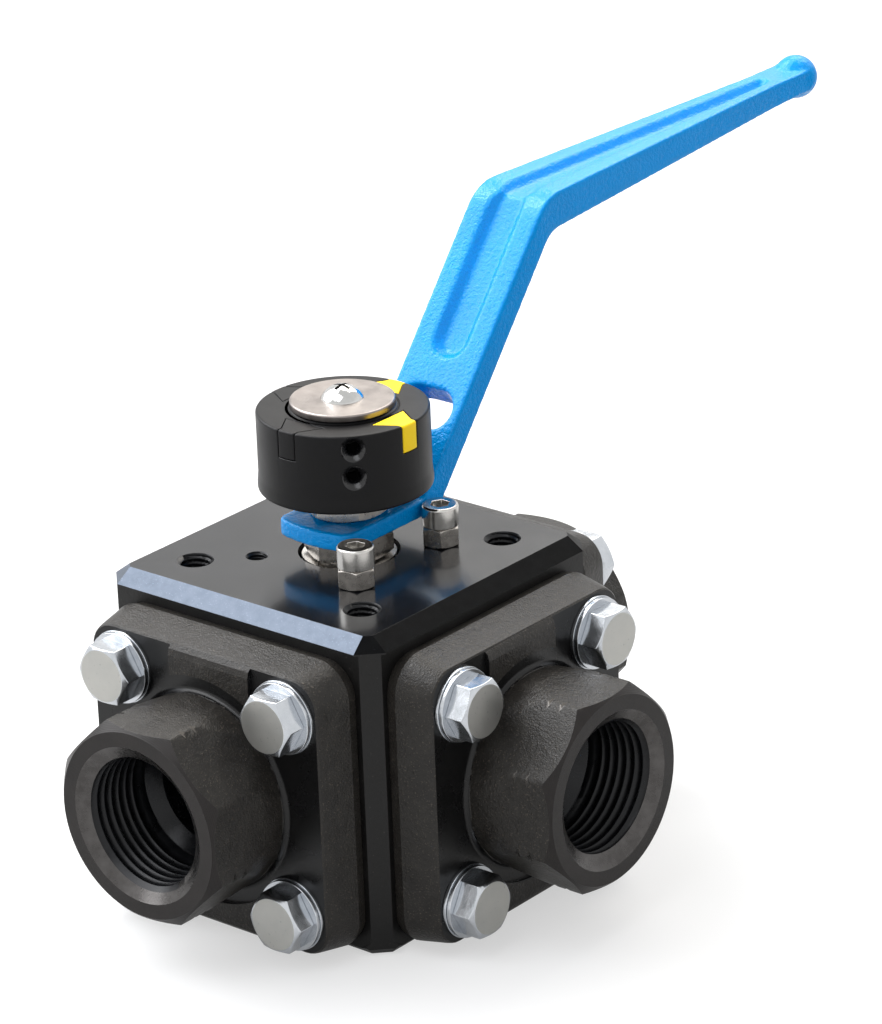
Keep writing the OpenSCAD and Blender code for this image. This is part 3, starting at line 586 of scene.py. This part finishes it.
@dataclass
class Workshop:
    """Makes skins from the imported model's nodes."""

    nodes: dict[str, bpy.types.Object]
    finishes: Finishes

    def place(self, mesh: bpy.types.Mesh, name: str) -> bpy.types.Object:
        """Puts a mesh into the scene as an object at the origin.

        Args:
            mesh: The mesh.
            name: The object's name.

        Returns:
            The new object.
        """
        piece = bpy.data.objects.new(name, mesh)
        bpy.context.scene.collection.objects.link(piece)
        return piece

    def copy(self, node: str, name: str) -> bpy.types.Object:
        """Copies a node's mesh, welds its triangles and joins those that lie in one plane.

        Args:
            node: The node's name.
            name: The new object's name.

        Returns:
            The new object.
        """
        mesh = self.nodes[node].data.copy()
        mesh.materials.clear()
        work = bmesh.new()
        work.from_mesh(mesh)
        bmesh.ops.remove_doubles(work, verts=work.verts, dist=0.004 * MM)
        bmesh.ops.dissolve_limit(work, angle_limit=math.radians(0.6), verts=work.verts, edges=work.edges)
        work.to_mesh(mesh)
        work.free()
        return self.place(mesh, name)

    def bake(self, piece: bpy.types.Object) -> bpy.types.Object:
        """Turns an object's modifiers into its mesh.

        Args:
            piece: The object.

        Returns:
            The same object, with a plain mesh.
        """
        graph = bpy.context.evaluated_depsgraph_get()
        shown = piece.evaluated_get(graph)
        mesh = bpy.data.meshes.new_from_object(shown, preserve_all_data_layers=True, depsgraph=graph)
        piece.modifiers.clear()
        old = piece.data
        piece.data = mesh
        bpy.data.meshes.remove(old)
        return piece

    def soften(
        self,
        piece: bpy.types.Object,
        width_mm: float,
        angle: float = 28.0,
        segments: int = 2,
        rule: Callable[[Vector], float] | None = None,
        clamp: bool = True,
    ) -> bpy.types.Object:
        """Rounds the piece's edges and shades it smooth with its faces kept flat.

        Args:
            piece: The object.
            width_mm: The largest bevel width.
            angle: Edges that turn less than this, in degrees, stay as they are.
            segments: Faces across a bevel.
            rule: Gives an edge's share of the width from its middle, in the model's frame.
            clamp: Narrows every bevel to what the tightest place allows.

        Returns:
            The same object, baked, with its bevels' faces on the last of its empty slots.
        """
        work = bmesh.new()
        work.from_mesh(piece.data)
        weights = work.edges.layers.float.get("bevel_weight_edge") or work.edges.layers.float.new("bevel_weight_edge")
        for edge in work.edges:
            if edge.is_manifold and edge.calc_face_angle(0.0) > math.radians(angle):
                middle = (edge.verts[0].co + edge.verts[1].co) / 2
                edge[weights] = rule(middle) if rule else 1.0
        work.to_mesh(piece.data)
        work.free()
        bevel = piece.modifiers.new("edge", "BEVEL")
        bevel.width = width_mm * MM
        bevel.segments = segments
        bevel.limit_method = "WEIGHT"
        bevel.use_clamp_overlap = clamp
        for _ in range(EDGE + 1):
            piece.data.materials.append(None)
        bevel.material = EDGE
        self.bake(piece)
        self.smooth(piece, 38.0)
        return piece

    def smooth(self, piece: bpy.types.Object, angle: float) -> bpy.types.Object:
        """Shades a piece smooth except across sharp edges, and lets its large faces stay flat.

        Args:
            piece: The object.
            angle: Edges that turn more than this, in degrees, stay sharp.

        Returns:
            The same object.
        """
        piece.data.shade_smooth()
        piece.data.set_sharp_from_angle(angle=math.radians(angle))
        weighted = piece.modifiers.new("flat", "WEIGHTED_NORMAL")
        weighted.keep_sharp = True
        weighted.weight = 80
        return self.bake(piece)

    def cut(self, piece: bpy.types.Object, cutters: Iterable[bpy.types.Object]) -> bpy.types.Object:
        """Takes cutters out of a piece and removes them.

        Args:
            piece: The object to cut.
            cutters: The objects to take out of it.

        Returns:
            The same object, baked.
        """
        for cutter in cutters:
            tool = piece.modifiers.new("cut", "BOOLEAN")
            tool.operation = "DIFFERENCE"
            tool.solver = "EXACT"
            tool.object = cutter
            self.bake(piece)
            bpy.data.objects.remove(cutter)
        return self.weld(piece)

    def weld(self, piece: bpy.types.Object) -> bpy.types.Object:
        """Joins points that lie on each other, drops faces without an area and turns the rest outward.

        Args:
            piece: The object.

        Returns:
            The same object.
        """
        work = bmesh.new()
        work.from_mesh(piece.data)
        bmesh.ops.remove_doubles(work, verts=work.verts, dist=0.002 * MM)
        bmesh.ops.dissolve_degenerate(work, dist=0.001 * MM, edges=work.edges)
        bmesh.ops.recalc_face_normals(work, faces=work.faces)
        work.to_mesh(piece.data)
        work.free()
        return piece

    def paint(
        self,
        piece: bpy.types.Object,
        finishes: Sequence[Finish],
        pick: Callable[[Patch], int] | None = None,
        view: Matrix | None = None,
    ) -> None:
        """Gives a piece its finishes, face by face.

        Args:
            piece: The object.
            finishes: Its finishes, the commonest first.
            pick: Gives a face's finish.
            view: Takes the model's frame to the frame that the faces are picked in.
        """
        on_edge = [face.material_index == EDGE for face in piece.data.polygons]
        piece.data.materials.clear()
        for finish in finishes:
            piece.data.materials.append(self.finishes.use(finish))
        view = view or Matrix()
        corners = [view @ v.co / MM for v in piece.data.vertices]
        turn = view.to_3x3()
        for face in piece.data.polygons:
            patch = Patch(tuple(corners[i] for i in face.vertices), turn @ face.normal, on_edge[face.index])
            face.material_index = pick(patch) if pick else 0

    def fit(self, piece: bpy.types.Object, body: Body, nodes: Sequence[str]) -> None:
        """Puts a finished piece on the body it moves with, hides the nodes it stands for and logs it.

        Args:
            piece: The object.
            body: The body it moves with.
            nodes: The nodes it stands for.
        """
        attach(piece, body.value)
        if nodes:
            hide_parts(*nodes)
        LOG.info("%s: %d faces, stands for %s", piece.name, len(piece.data.polygons), ", ".join(nodes))

    def dress(self, node: str, finish: Finish) -> None:
        """Gives a node that stays as it is its finish.

        Args:
            node: The node's name.
            finish: The finish.
        """
        shown = self.nodes[node]
        shown.data.materials.clear()
        shown.data.materials.append(self.finishes.use(finish))
        LOG.info("%s: kept, %s", node, finish.name)


@dataclass
class ThreadCut:
    """The groove of a tapped thread, swept along its helix by Geometry Nodes."""

    wall_r_mm: float
    depth_mm: float
    pitch_mm: float
    length_mm: float
    per_turn: int = 64
    overlap_mm: float = 0.2

    def tree(self) -> bpy.types.NodeTree:
        """Builds the node tree: a helix, a three-sided profile, swept and closed.

        Returns:
            The tree, with Radius, Size, Turns, Height and Steps as inputs.
        """
        tree = bpy.data.node_groups.new("thread_groove", "GeometryNodeTree")
        face = tree.interface
        for name, kind in (
            ("Radius", "NodeSocketFloat"),
            ("Size", "NodeSocketFloat"),
            ("Turns", "NodeSocketFloat"),
            ("Height", "NodeSocketFloat"),
            ("Steps", "NodeSocketInt"),
        ):
            face.new_socket(name, in_out="INPUT", socket_type=kind)
        face.new_socket("Groove", in_out="OUTPUT", socket_type="NodeSocketGeometry")
        given = add(tree, "NodeGroupInput").outputs
        helix = add(
            tree,
            "GeometryNodeCurveSpiral",
            {"Reverse": True},
            {
                "Resolution": given["Steps"],
                "Rotations": given["Turns"],
                "Start Radius": given["Radius"],
                "End Radius": given["Radius"],
                "Height": given["Height"],
            },
        )
        upright = add(tree, "GeometryNodeSetCurveNormal", {"mode": "Z_UP"}, {"Curve": helix.outputs[0]})
        section = add(tree, "GeometryNodeCurvePrimitiveCircle", {"Resolution": 3}, {"Radius": given["Size"]})
        swept = add(
            tree,
            "GeometryNodeCurveToMesh",
            {"Fill Caps": True},
            {"Curve": upright.outputs[0], "Profile Curve": section.outputs[0]},
        )
        real = add(tree, "GeometryNodeRealizeInstances", links={"Geometry": swept.outputs[0]})
        add(tree, "NodeGroupOutput", links={"Groove": real.outputs[0]})
        return tree

    def cutter(self, shop: Workshop, place: Matrix) -> bpy.types.Object:
        """Makes the groove as a closed mesh.

        Args:
            shop: The workshop.
            place: Puts the hole's axis, drawn along +Z from its deep end, in the model's frame.

        Returns:
            The cutter.
        """
        # A triangle is one and a half times as deep as its circle's radius
        size = (self.depth_mm + self.overlap_mm) / 1.5
        turns = round(self.length_mm / self.pitch_mm * self.per_turn) / self.per_turn
        values = {
            "Radius": (self.wall_r_mm - self.overlap_mm + size / 2) * MM,
            "Size": size * MM,
            "Turns": turns,
            "Height": turns * self.pitch_mm * MM,
            "Steps": self.per_turn,
        }
        piece = shop.place(bpy.data.meshes.new("groove"), "groove")
        grow = piece.modifiers.new("groove", "NODES")
        grow.node_group = self.tree()
        for item in grow.node_group.interface.items_tree:
            if item.in_out == "INPUT":
                grow[item.identifier] = values[item.name]
        shop.bake(piece)
        step = math.tau / self.per_turn
        for point in piece.data.vertices:
            turn = math.atan2(point.co.y, point.co.x)
            point.co.rotate(Matrix.Rotation(round(turn / step) * step - turn, 3, "Z"))
        piece.data.transform(place)
        shop.weld(piece)
        return piece


def turned_cutter(
    shop: Workshop, profile: Sequence[tuple[float, float]], steps: int, place: Matrix
) -> bpy.types.Object:
    """Makes a closed turned shape to cut with.

    Args:
        shop: The workshop.
        profile: Radius and height of its corners from the bottom up, in millimetres.
        steps: Corners around the axis.
        place: Puts its axis, drawn along +Z, in the model's frame.

    Returns:
        The cutter.
    """
    turns = [math.tau * i / steps for i in range(steps)]
    rings = [[(r * math.cos(turn) * MM, r * math.sin(turn) * MM, z * MM) for turn in turns] for r, z in profile]
    faces = [tuple(reversed(range(steps))), tuple(range(len(rings[:-1]) * steps, len(rings) * steps))]
    for row in range(len(rings) - 1):
        for i in range(steps):
            j = (i + 1) % steps
            faces.append((row * steps + i, row * steps + j, (row + 1) * steps + j, (row + 1) * steps + i))
    mesh = bpy.data.meshes.new("turned")
    mesh.from_pydata([point for ring in rings for point in ring], [], faces)
    mesh.transform(place)
    return shop.place(mesh, "turned")


@dataclass
class Block:
    """The body block: milled pad, chamfers, tapped holes and side seats."""

    bevel_mm: float = 0.22
    pad_off_mm: float = 24.749
    stop_off_mm: float = 14.849
    sink_r_mm: float = 4.3
    sink_mm: float = 1.2
    outer_tap_mm: float = 12.2
    inner_tap_mm: float = 8.6
    pad_z_mm: float = -0.06
    tap_z_mm: float = -14.0
    tap_r_mm: float = 5.2
    chamfer_z_mm: float = -3.15
    chamfer_r_mm: float = 30.0
    recess_r_mm: float = 12.0
    recess_z_mm: float = -12.0

    def spots(self, off: float) -> list[tuple[float, float]]:
        """Centres of a square hole pattern.

        Args:
            off: Half the distance between neighbours, in millimetres.

        Returns:
            The four centres.
        """
        return [(x * off, y * off) for x in (-1, 1) for y in (-1, 1)]

    def down(self, spot: tuple[float, float], deep_mm: float) -> Matrix:
        """Places a hole's cutter.

        Args:
            spot: The hole's centre, in millimetres.
            deep_mm: How far below the pad the cutter starts.

        Returns:
            The matrix that puts the cutter there.
        """
        return Matrix.Translation((spot[0] * MM, spot[1] * MM, -deep_mm * MM))

    def build(self, shop: Workshop) -> None:
        """Skins the block and cuts the pad's threads.

        Args:
            shop: The workshop.
        """
        piece = shop.copy("valve_body", "block_skin")
        shop.soften(piece, self.bevel_mm)
        outer = ThreadCut(wall_r_mm=3.4, depth_mm=0.55, pitch_mm=1.25, length_mm=12.4, per_turn=24, overlap_mm=0.1)
        inner = ThreadCut(wall_r_mm=2.1, depth_mm=0.38, pitch_mm=0.8, length_mm=8.4, per_turn=20, overlap_mm=0.08)
        wide = self.spots(self.pad_off_mm)
        near = [spot for spot in self.spots(self.stop_off_mm) if spot[0] < 0]
        mouth = [(self.sink_r_mm - self.sink_mm, -self.sink_mm), (self.sink_r_mm + 0.3, 0.3)]
        cutters = [turned_cutter(shop, mouth, 64, self.down(spot, 0.0)) for spot in wide]
        cutters += [outer.cutter(shop, self.down(spot, self.outer_tap_mm)) for spot in wide]
        cutters += [inner.cutter(shop, self.down(spot, self.inner_tap_mm)) for spot in near]
        shop.cut(piece, cutters)
        shop.smooth(piece, 38.0)
        shop.paint(piece, (BLOCK_SIDE_AND_SHADE, PAD, CHAMFER, THREAD, SHADED_CHAMFER), self.finish_of)
        shop.fit(piece, Body.VALVE, ["valve_body"])

    def finish_of(self, patch: Patch) -> int:
        """Picks a face's finish.

        Args:
            patch: The face, in the model's frame.

        Returns:
            The finish's place in the block's list.
        """
        if patch.lowest > self.pad_z_mm:
            return BlockFace.PAD
        holes = self.spots(self.pad_off_mm) + self.spots(self.stop_off_mm)
        if patch.lowest > self.tap_z_mm and patch.off(holes) < self.tap_r_mm:
            return BlockFace.TAPPED
        if patch.lowest > self.chamfer_z_mm and patch.normal.z > 0.3 and patch.radius > self.chamfer_r_mm:
            # The chamfer that faces +X gets the nearly black copy of the chamfer finish, as painted shade
            return BlockFace.SHADED_CHAMFER if patch.normal.x > 0.3 else BlockFace.CHAMFER
        if patch.radius < self.recess_r_mm and patch.lowest > self.recess_z_mm:
            return BlockFace.TAPPED
        # Every other face of the block gets the side finish, which is partly painted shade
        return BlockFace.SIDE


@dataclass
class Cap:
    """A cap: forged flange and boss with turned faces, milled strips and a tapped port."""

    port: Port
    front_mm: float = 74.65
    bolt_seat_mm: float = 51.05
    flange_front_mm: float = 52.15
    foot_r_mm: float = 24.6
    groove_r_mm: float = 27.25
    land_mm: tuple[float, float] = (-9.0, 14.5)
    mouth_r_mm: float = 18.5
    mouth_mm: float = 2.4
    thread_r_mm: float = 15.15
    thread_len_mm: float = 19.0
    pitch_mm: float = 2.309
    thread_depth_mm: float = 1.4
    thread_start_mm: float = 1.5
    thread_short_mm: float = 2.2
    bore_play_mm: float = 0.028
    steps: int = 96
    bevel_mm: float = 1.2
    groove_mm: tuple[float, float] = (3.2, 13.0)
    boss_r_mm: float = 20.0
    cut_share: float = 0.16
    boss_share: float = 0.3
    flange_share: float = 0.45

    def edge_share(self, middle: Vector) -> float:
        """Rounds the boss's and the flange's forged edges most, cut edges hardly, the bore and the grooves not.

        Args:
            middle: The edge's middle, in the port's frame.

        Returns:
            The share of the full bevel.
        """
        radius = math.hypot(middle.x, middle.y) / MM
        depth = middle.z / MM
        if radius < self.thread_r_mm + 0.3 and depth < self.front_mm - self.mouth_mm:
            return 0.0
        if depth > self.flange_front_mm + 0.2:
            near, far = self.groove_mm
            if self.front_mm - far < depth < self.front_mm - near:
                return 0.0
            return self.boss_share if radius > self.boss_r_mm else self.cut_share
        return self.cut_share if depth > self.bolt_seat_mm - 0.3 else self.flange_share

    def finish_of(self, patch: Patch) -> int:
        """Tells forged skin, turned faces, milled strips, bore, thread and grooves apart.

        Args:
            patch: The face, in the port's frame.

        Returns:
            The finish's place in the cap's list.
        """
        radius, depth, facing = patch.radius, patch.depth, patch.normal.z
        # Bevel faces along the boss's front edges: rubbed wear, partly a painted highlight
        if patch.edge and radius > self.mouth_r_mm - 0.6 and depth > self.front_mm - 4.0:
            return CapFace.WORN_AND_HIGHLIGHT
        # The bored shoulder below the thread gets the darkened finish, as painted shade
        if depth < self.front_mm - self.thread_len_mm + 0.15 and radius < self.thread_r_mm + 0.3:
            return CapFace.BORED_AND_SHADE
        if patch.lowest > self.front_mm - 0.1:
            return CapFace.TURNED
        sunk = (depth - self.front_mm + self.mouth_mm) / self.mouth_mm
        cone_r = self.thread_r_mm + (self.mouth_r_mm - self.thread_r_mm) * sunk
        if depth > self.front_mm - self.mouth_mm - 0.1 and facing > 0.4 and abs(radius - cone_r) < 0.25:
            return CapFace.SUNK
        if radius < self.thread_r_mm + 1.7:
            return CapFace.THREAD
        if depth > self.front_mm - 3.4 and facing > 0.3:
            return CapFace.TURNED
        # Groove walls facing out of the port get cut steel, those facing back the near-black milled finish, partly as
        # painted shade
        if depth > self.front_mm - 14.0 and abs(facing) > 0.2:
            return CapFace.GROOVE if facing > 0 else CapFace.MILLED_AND_SHADE
        # Bolt-seat faces and milled strips get the near-black milled finish, partly painted shade
        if patch.highest < self.bolt_seat_mm + 0.15 and facing > 0.9 and depth > self.bolt_seat_mm - 0.2:
            return CapFace.MILLED_AND_SHADE
        across = sum(p.x for p in patch.points) / len(patch.points)
        strip = not self.land_mm[0] + 0.05 < across < self.land_mm[1] - 0.05
        milled = self.bolt_seat_mm - 0.1 < depth < self.flange_front_mm
        ringed = strip or radius < self.groove_r_mm + 0.2
        return CapFace.MILLED_AND_SHADE if milled and ringed and radius > self.foot_r_mm - 1.9 else CapFace.FORGED

    def build(self, shop: Workshop) -> None:
        """Skins the cap and cuts its thread.

        Args:
            shop: The workshop.
        """
        place = self.port.matrix(AXIS_Z)
        if self.port is Port.SIDE:
            place = place @ Matrix.Rotation(math.pi, 4, "Z")
        back = place.inverted()
        node = f"{self.port.prefix}_cap"
        piece = shop.copy(node, f"{node}_skin")
        shop.soften(
            piece, self.bevel_mm, angle=18.0, segments=3, rule=lambda middle: self.edge_share(back @ middle)
        )
        bore_r, mouth_r = self.thread_r_mm + self.bore_play_mm, self.mouth_r_mm + self.bore_play_mm
        bore = [
            (bore_r, self.front_mm - self.thread_len_mm + 0.2),
            (bore_r, self.front_mm - self.mouth_mm),
            (mouth_r, self.front_mm),
            (mouth_r, self.front_mm + 1.0),
        ]
        run = self.thread_len_mm - self.thread_short_mm
        groove = ThreadCut(self.thread_r_mm, self.thread_depth_mm, self.pitch_mm, run, per_turn=self.steps)
        start = Matrix.Translation((0, 0, (self.front_mm - self.thread_len_mm + self.thread_start_mm) * MM))
        shop.cut(piece, [turned_cutter(shop, bore, self.steps, place), groove.cutter(shop, place @ start)])
        shop.smooth(piece, 33.0)
        finishes = (FORGED, turned_phosphate(self.port), MILLED_AND_SHADE, THREAD, WORN_AND_HIGHLIGHT, BORED_AND_SHADE, CUT, NICK)
        shop.paint(piece, finishes, self.finish_of, back)
        shop.fit(piece, Body.VALVE, [node])


@dataclass
class Fasteners:
    """The caps' bolts and lock washers."""

    port: Port

    def build(self, shop: Workshop) -> None:
        """Skins the bolts and the washers of one cap.

        Args:
            shop: The workshop.
        """
        back = self.port.matrix(AXIS_Z).inverted()
        bolts = f"{self.port.prefix}_cap_bolts"
        piece = shop.copy(bolts, f"{bolts}_skin")
        shop.soften(piece, 0.16)
        top = max((back @ v.co).z for v in piece.data.vertices) / MM
        shop.paint(piece, (ZINC, ZINC_FLAT), lambda patch: int(patch.lowest > top - 0.05), back)
        shop.fit(piece, Body.VALVE, [bolts])
        washers = f"{self.port.prefix}_cap_washers"
        piece = shop.copy(washers, f"{washers}_skin")
        shop.soften(piece, 0.14)
        shop.paint(piece, (ZINC,))
        shop.fit(piece, Body.VALVE, [washers])


@dataclass
class Lever:
    """The cast lever, rounded all over as a casting under powder coat is.

    It is rebuilt on a fine grid that lies askew to its faces, because a grid along them leaves waves on its edges.
    Faces that turn sideways by side_turn or more carry a copy of the coat with far less shine, as painted shade.
    """

    voxel_mm: float = 0.3
    passes: int = 42
    points: int = 92000
    side_turn: float = 0.82
    askew: tuple[float, float, float] = (0.5, 0.65, 0.4)

    def build(self, shop: Workshop) -> None:
        """Rounds the lever and coats it.

        Args:
            shop: The workshop.
        """
        piece = shop.copy("lever", "lever_skin")
        askew = Euler(self.askew).to_matrix().to_4x4()
        piece.data.transform(askew)
        skin = piece.modifiers.new("skin", "REMESH")
        skin.mode = "VOXEL"
        skin.voxel_size = self.voxel_mm * MM
        even = piece.modifiers.new("even", "SMOOTH")
        even.factor = 0.5
        even.iterations = self.passes
        shop.bake(piece)
        thin = piece.modifiers.new("thin", "DECIMATE")
        thin.ratio = min(1.0, self.points / len(piece.data.vertices))
        shop.bake(piece)
        piece.data.transform(askew.inverted())
        piece.data.shade_smooth()
        # Sideways faces get the less shiny copy of the coat, as painted shade
        shop.paint(piece, (POWDER, POWDER_SIDE_SHADED), lambda patch: int(abs(patch.normal.x) > self.side_turn))
        shop.fit(piece, Body.SPINDLE, ["lever"])


@dataclass
class Head:
    """The indicator with its inserts, washer and screw, and the nuts and stops around the stem."""

    wall_mm: tuple[float, float] = (18.4, 32.9)
    hole_r_mm: float = 11.5

    def build(self, shop: Workshop) -> None:
        """Skins the pieces above the pad.

        Args:
            shop: The workshop.
        """
        for node, width, finish, slot, clamp in (
            ("indicator", 0.24, NYLON, "black_plastic", False),
            ("yellow_arrows", 0.24, YELLOW, "yellow_plastic", False),
            ("black_arrows", 0.24, NYLON, "black_plastic", False),
            ("cover_washer", 0.15, BRUSHED, "stem_steel", True),
            ("indicator_screw", 0.15, NICKEL, "zinc_steel", True),
            ("lock_nut", 0.15, NUT, "nut_steel", True),
            ("gland_nut", 0.15, NUT, "nut_steel", True),
        ):
            piece = shop.copy(node, f"{node}_skin")
            shop.soften(piece, width, clamp=clamp)
            if node == "indicator":
                shop.paint(piece, (finish, DRILLED_NYLON), self.drilled)
            else:
                shop.paint(piece, (finish,))
            shop.fit(piece, Body.SPINDLE, [node])
        for node, width, finish in (("stop_nuts", 0.12, NUT), ("stop_screws", 0.26, SCREW)):
            piece = shop.copy(node, f"{node}_skin")
            shop.soften(piece, width)
            shop.paint(piece, (finish,))
            shop.fit(piece, Body.VALVE, [node])

    def drilled(self, patch: Patch) -> int:
        """Finds the indicator's dowel holes.

        Args:
            patch: The face, in the model's frame.

        Returns:
            One inside a dowel hole, and zero elsewhere.
        """
        low, high = self.wall_mm
        in_wall = patch.radius > self.hole_r_mm and low < patch.depth < high and patch.highest <= high
        outward = patch.normal.x * patch.points[0].x + patch.normal.y * patch.points[0].y
        return int(in_wall and outward < 0.9 * patch.radius)


@dataclass
class Inside:
    """The pieces inside the valve and around the stem that keep their own shape."""

    kept: tuple[tuple[str, Finish], ...] = (
        ("front_cap_oring", NITRILE), ("side_cap_oring", NITRILE), ("rear_cap_oring", NITRILE),
        ("stem_oring", NITRILE),
        ("front_seat", FLUOROPLASTIC), ("side_seat", FLUOROPLASTIC), ("rear_seat", FLUOROPLASTIC),
        ("blind_seat", FLUOROPLASTIC), ("thrust_washer", FLUOROPLASTIC),
        ("lower_packing", FLUOROPLASTIC), ("upper_packing", FLUOROPLASTIC),
        ("ball", CHROME), ("stem", STAINLESS), ("gland_ring", STAINLESS),
        ("lower_disc_spring", STAINLESS), ("upper_disc_spring", STAINLESS),
    )

    def build(self, shop: Workshop) -> None:
        """Finishes the kept nodes.

        Args:
            shop: The workshop.
        """
        for node, finish in self.kept:
            shop.dress(node, finish)


@dataclass
class Studio:
    """Pale floor, soft light and the photograph's camera."""

    azimuth: float = 40.203
    elevation: float = 22.066
    roll: float = -2.208
    distance: float = 1.105
    aim_right: float = 0.020836
    aim_up: float = 0.008461
    focal_px: float = 4865.0
    long_side_px: float = 1024.0
    floor_z: float = -0.0765
    floor_side: float = 4.0
    lamps: tuple[tuple[str, tuple[float, float, float], float, float, float, str], ...] = (
        ("key", (-0.7, -0.2, 0.7), 1.5, 1.6, 32.0, "#fbfcff"),
        ("back", (-0.22, 0.62, 0.75), 1.6, 1.2, 16.0, "#fffaf2"),
        ("front", (0.02, -0.47, 0.88), 1.6, 0.9, 5.0, "#f8faff"),
        ("sparkle", (-0.6, 0.05, 0.8), 1.6, 0.4, 5.0, "#ffffff"),
    )

    def camera(self) -> None:
        """Makes the camera at the photograph's place, angle and lens."""
        a, e, r = (math.radians(v) for v in (self.azimuth, self.elevation, self.roll))
        right = Vector((math.cos(a), math.sin(a), 0))
        back = Vector((math.sin(a) * math.cos(e), -math.cos(a) * math.cos(e), math.sin(e)))
        up = back.cross(right)
        turned_right = math.cos(r) * right + math.sin(r) * up
        turned_up = math.cos(r) * up - math.sin(r) * right
        data = bpy.data.cameras.new("camera")
        data.sensor_width = 36.0
        data.lens = self.focal_px / self.long_side_px * 36.0
        data.clip_start, data.clip_end = 0.05, 20.0
        camera = bpy.data.objects.new("camera", data)
        bpy.context.scene.collection.objects.link(camera)
        spot = self.aim_right * turned_right + self.aim_up * turned_up + self.distance * back
        turn = Matrix((turned_right, turned_up, back)).transposed().to_4x4()
        camera.matrix_world = Matrix.Translation(spot) @ turn
        bpy.context.scene.camera = camera

    def lamp(self, name: str, way: Vector, far: float, size: float, power: float, tint: str) -> None:
        """Adds a soft square lamp that faces the valve.

        Args:
            name: The lamp's name.
            way: The direction from the valve to the lamp.
            far: Its distance, in metres.
            size: Its side, in metres.
            power: Its power, in watts.
            tint: Its sRGB colour.
        """
        data = bpy.data.lights.new(name, "AREA")
        data.shape = "SQUARE"
        data.size = size
        data.energy = power
        data.color = linear(tint)[:3]
        lamp = bpy.data.objects.new(name, data)
        bpy.context.scene.collection.objects.link(lamp)
        lamp.location = way.normalized() * far
        lamp.rotation_euler = way.to_track_quat("Z", "Y").to_euler()

    def world(self, ambient: float, ceiling: float) -> None:
        """Makes a plain white surround under a dimmer ceiling.

        Args:
            ambient: Its strength as light on the object.
            ceiling: Strength of the part overhead in reflections; the part around the horizon is white.
        """
        world = bpy.data.worlds.new("surround")
        bpy.context.scene.world = world
        world.use_nodes = True
        tree = world.node_tree
        tree.nodes.clear()
        path = add(tree, "ShaderNodeLightPath").outputs
        way = add(tree, "ShaderNodeTexCoord").outputs["Generated"]
        height = add(tree, "ShaderNodeSeparateXYZ", links={"Vector": way}).outputs["Z"]
        walls = add(
            tree,
            "ShaderNodeMapRange",
            {"interpolation_type": "SMOOTHSTEP", "From Min": 0.42, "From Max": 0.62, "To Min": 1.0, "To Max": ceiling},
            {"Value": height},
        ).outputs["Result"]
        seen = seen_directly(tree, path)
        lit = add(
            tree, "ShaderNodeMix", {"data_type": "FLOAT", 2: ambient}, {0: path["Is Glossy Ray"], 3: walls}
        ).outputs[0]
        both = add(tree, "ShaderNodeMix", {"data_type": "FLOAT", 3: 1.0}, {0: seen, 2: lit}).outputs[0]
        sky = add(tree, "ShaderNodeBackground", {"Color": (1, 1, 1, 1)}, {"Strength": both})
        add(tree, "ShaderNodeOutputWorld", links={"Surface": sky.outputs[0]})

    def floor(self, glow: float, mirrored: float) -> None:
        """Makes the pale floor under the valve.

        Args:
            glow: Light that the floor adds for the camera, so that it reads as white.
            mirrored: Share of that light in reflections, so that metal shows a pale floor too.
        """
        mesh = bpy.data.meshes.new("floor")
        ends = [(x * self.floor_side, y * self.floor_side) for x, y in ((-1, -1), (1, -1), (1, 1), (-1, 1))]
        mesh.from_pydata([(x, y, self.floor_z) for x, y in ends], [], [(0, 1, 2, 3)])
        floor = bpy.data.objects.new("floor", mesh)
        bpy.context.scene.collection.objects.link(floor)
        material = bpy.data.materials.new("pale_floor")
        material.use_nodes = True
        tree = material.node_tree
        tree.nodes.clear()
        path = add(tree, "ShaderNodeLightPath").outputs
        seen = seen_directly(tree, path)
        glossy = path["Is Glossy Ray"]
        gloss = add(tree, "ShaderNodeMath", {"operation": "MULTIPLY", 1: mirrored}, {0: glossy}).outputs[0]
        shown = add(tree, "ShaderNodeMath", {"operation": "MAXIMUM"}, {0: seen, 1: gloss}).outputs[0]
        shine = add(tree, "ShaderNodeMath", {"operation": "MULTIPLY", 1: glow}, {0: shown}).outputs[0]
        matt = add(tree, "ShaderNodeBsdfDiffuse", {"Color": linear("#ababab")})
        light = add(tree, "ShaderNodeEmission", {"Color": (1, 1, 1, 1)}, {"Strength": shine})
        both = add(tree, "ShaderNodeAddShader", links={0: matt.outputs[0], 1: light.outputs[0]})
        add(tree, "ShaderNodeOutputMaterial", links={"Surface": both.outputs[0]})
        mesh.materials.append(material)

    def build(self) -> None:
        """Sets up camera, light and floor."""
        bpy.context.scene.view_settings.view_transform = "Standard"
        self.camera()
        self.world(ambient=0.75, ceiling=0.85)
        for name, way, far, size, power, tint in self.lamps:
            self.lamp(name, Vector(way), far, size, power, tint)
        self.floor(glow=0.55, mirrored=0.35)


def corners(box: tuple[Vector, Vector]) -> list[list[float]]:
    """Writes a box as plain lists.

    Args:
        box: Its lowest and highest corner.

    Returns:
        The two corners.
    """
    return [list(box[0]), list(box[1])]


def main() -> None:
    """Builds the valve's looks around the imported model."""
    logging.basicConfig(level=logging.INFO, format="%(message)s")
    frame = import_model()
    shop = Workshop(frame["nodes"], Finishes())
    Studio().build()
    Block().build(shop)
    for port in Port:
        Cap(port).build(shop)
        Fasteners(port).build(shop)
    Lever().build(shop)
    Head().build(shop)
    Inside().build(shop)


if __name__ == "__main__":
    main()
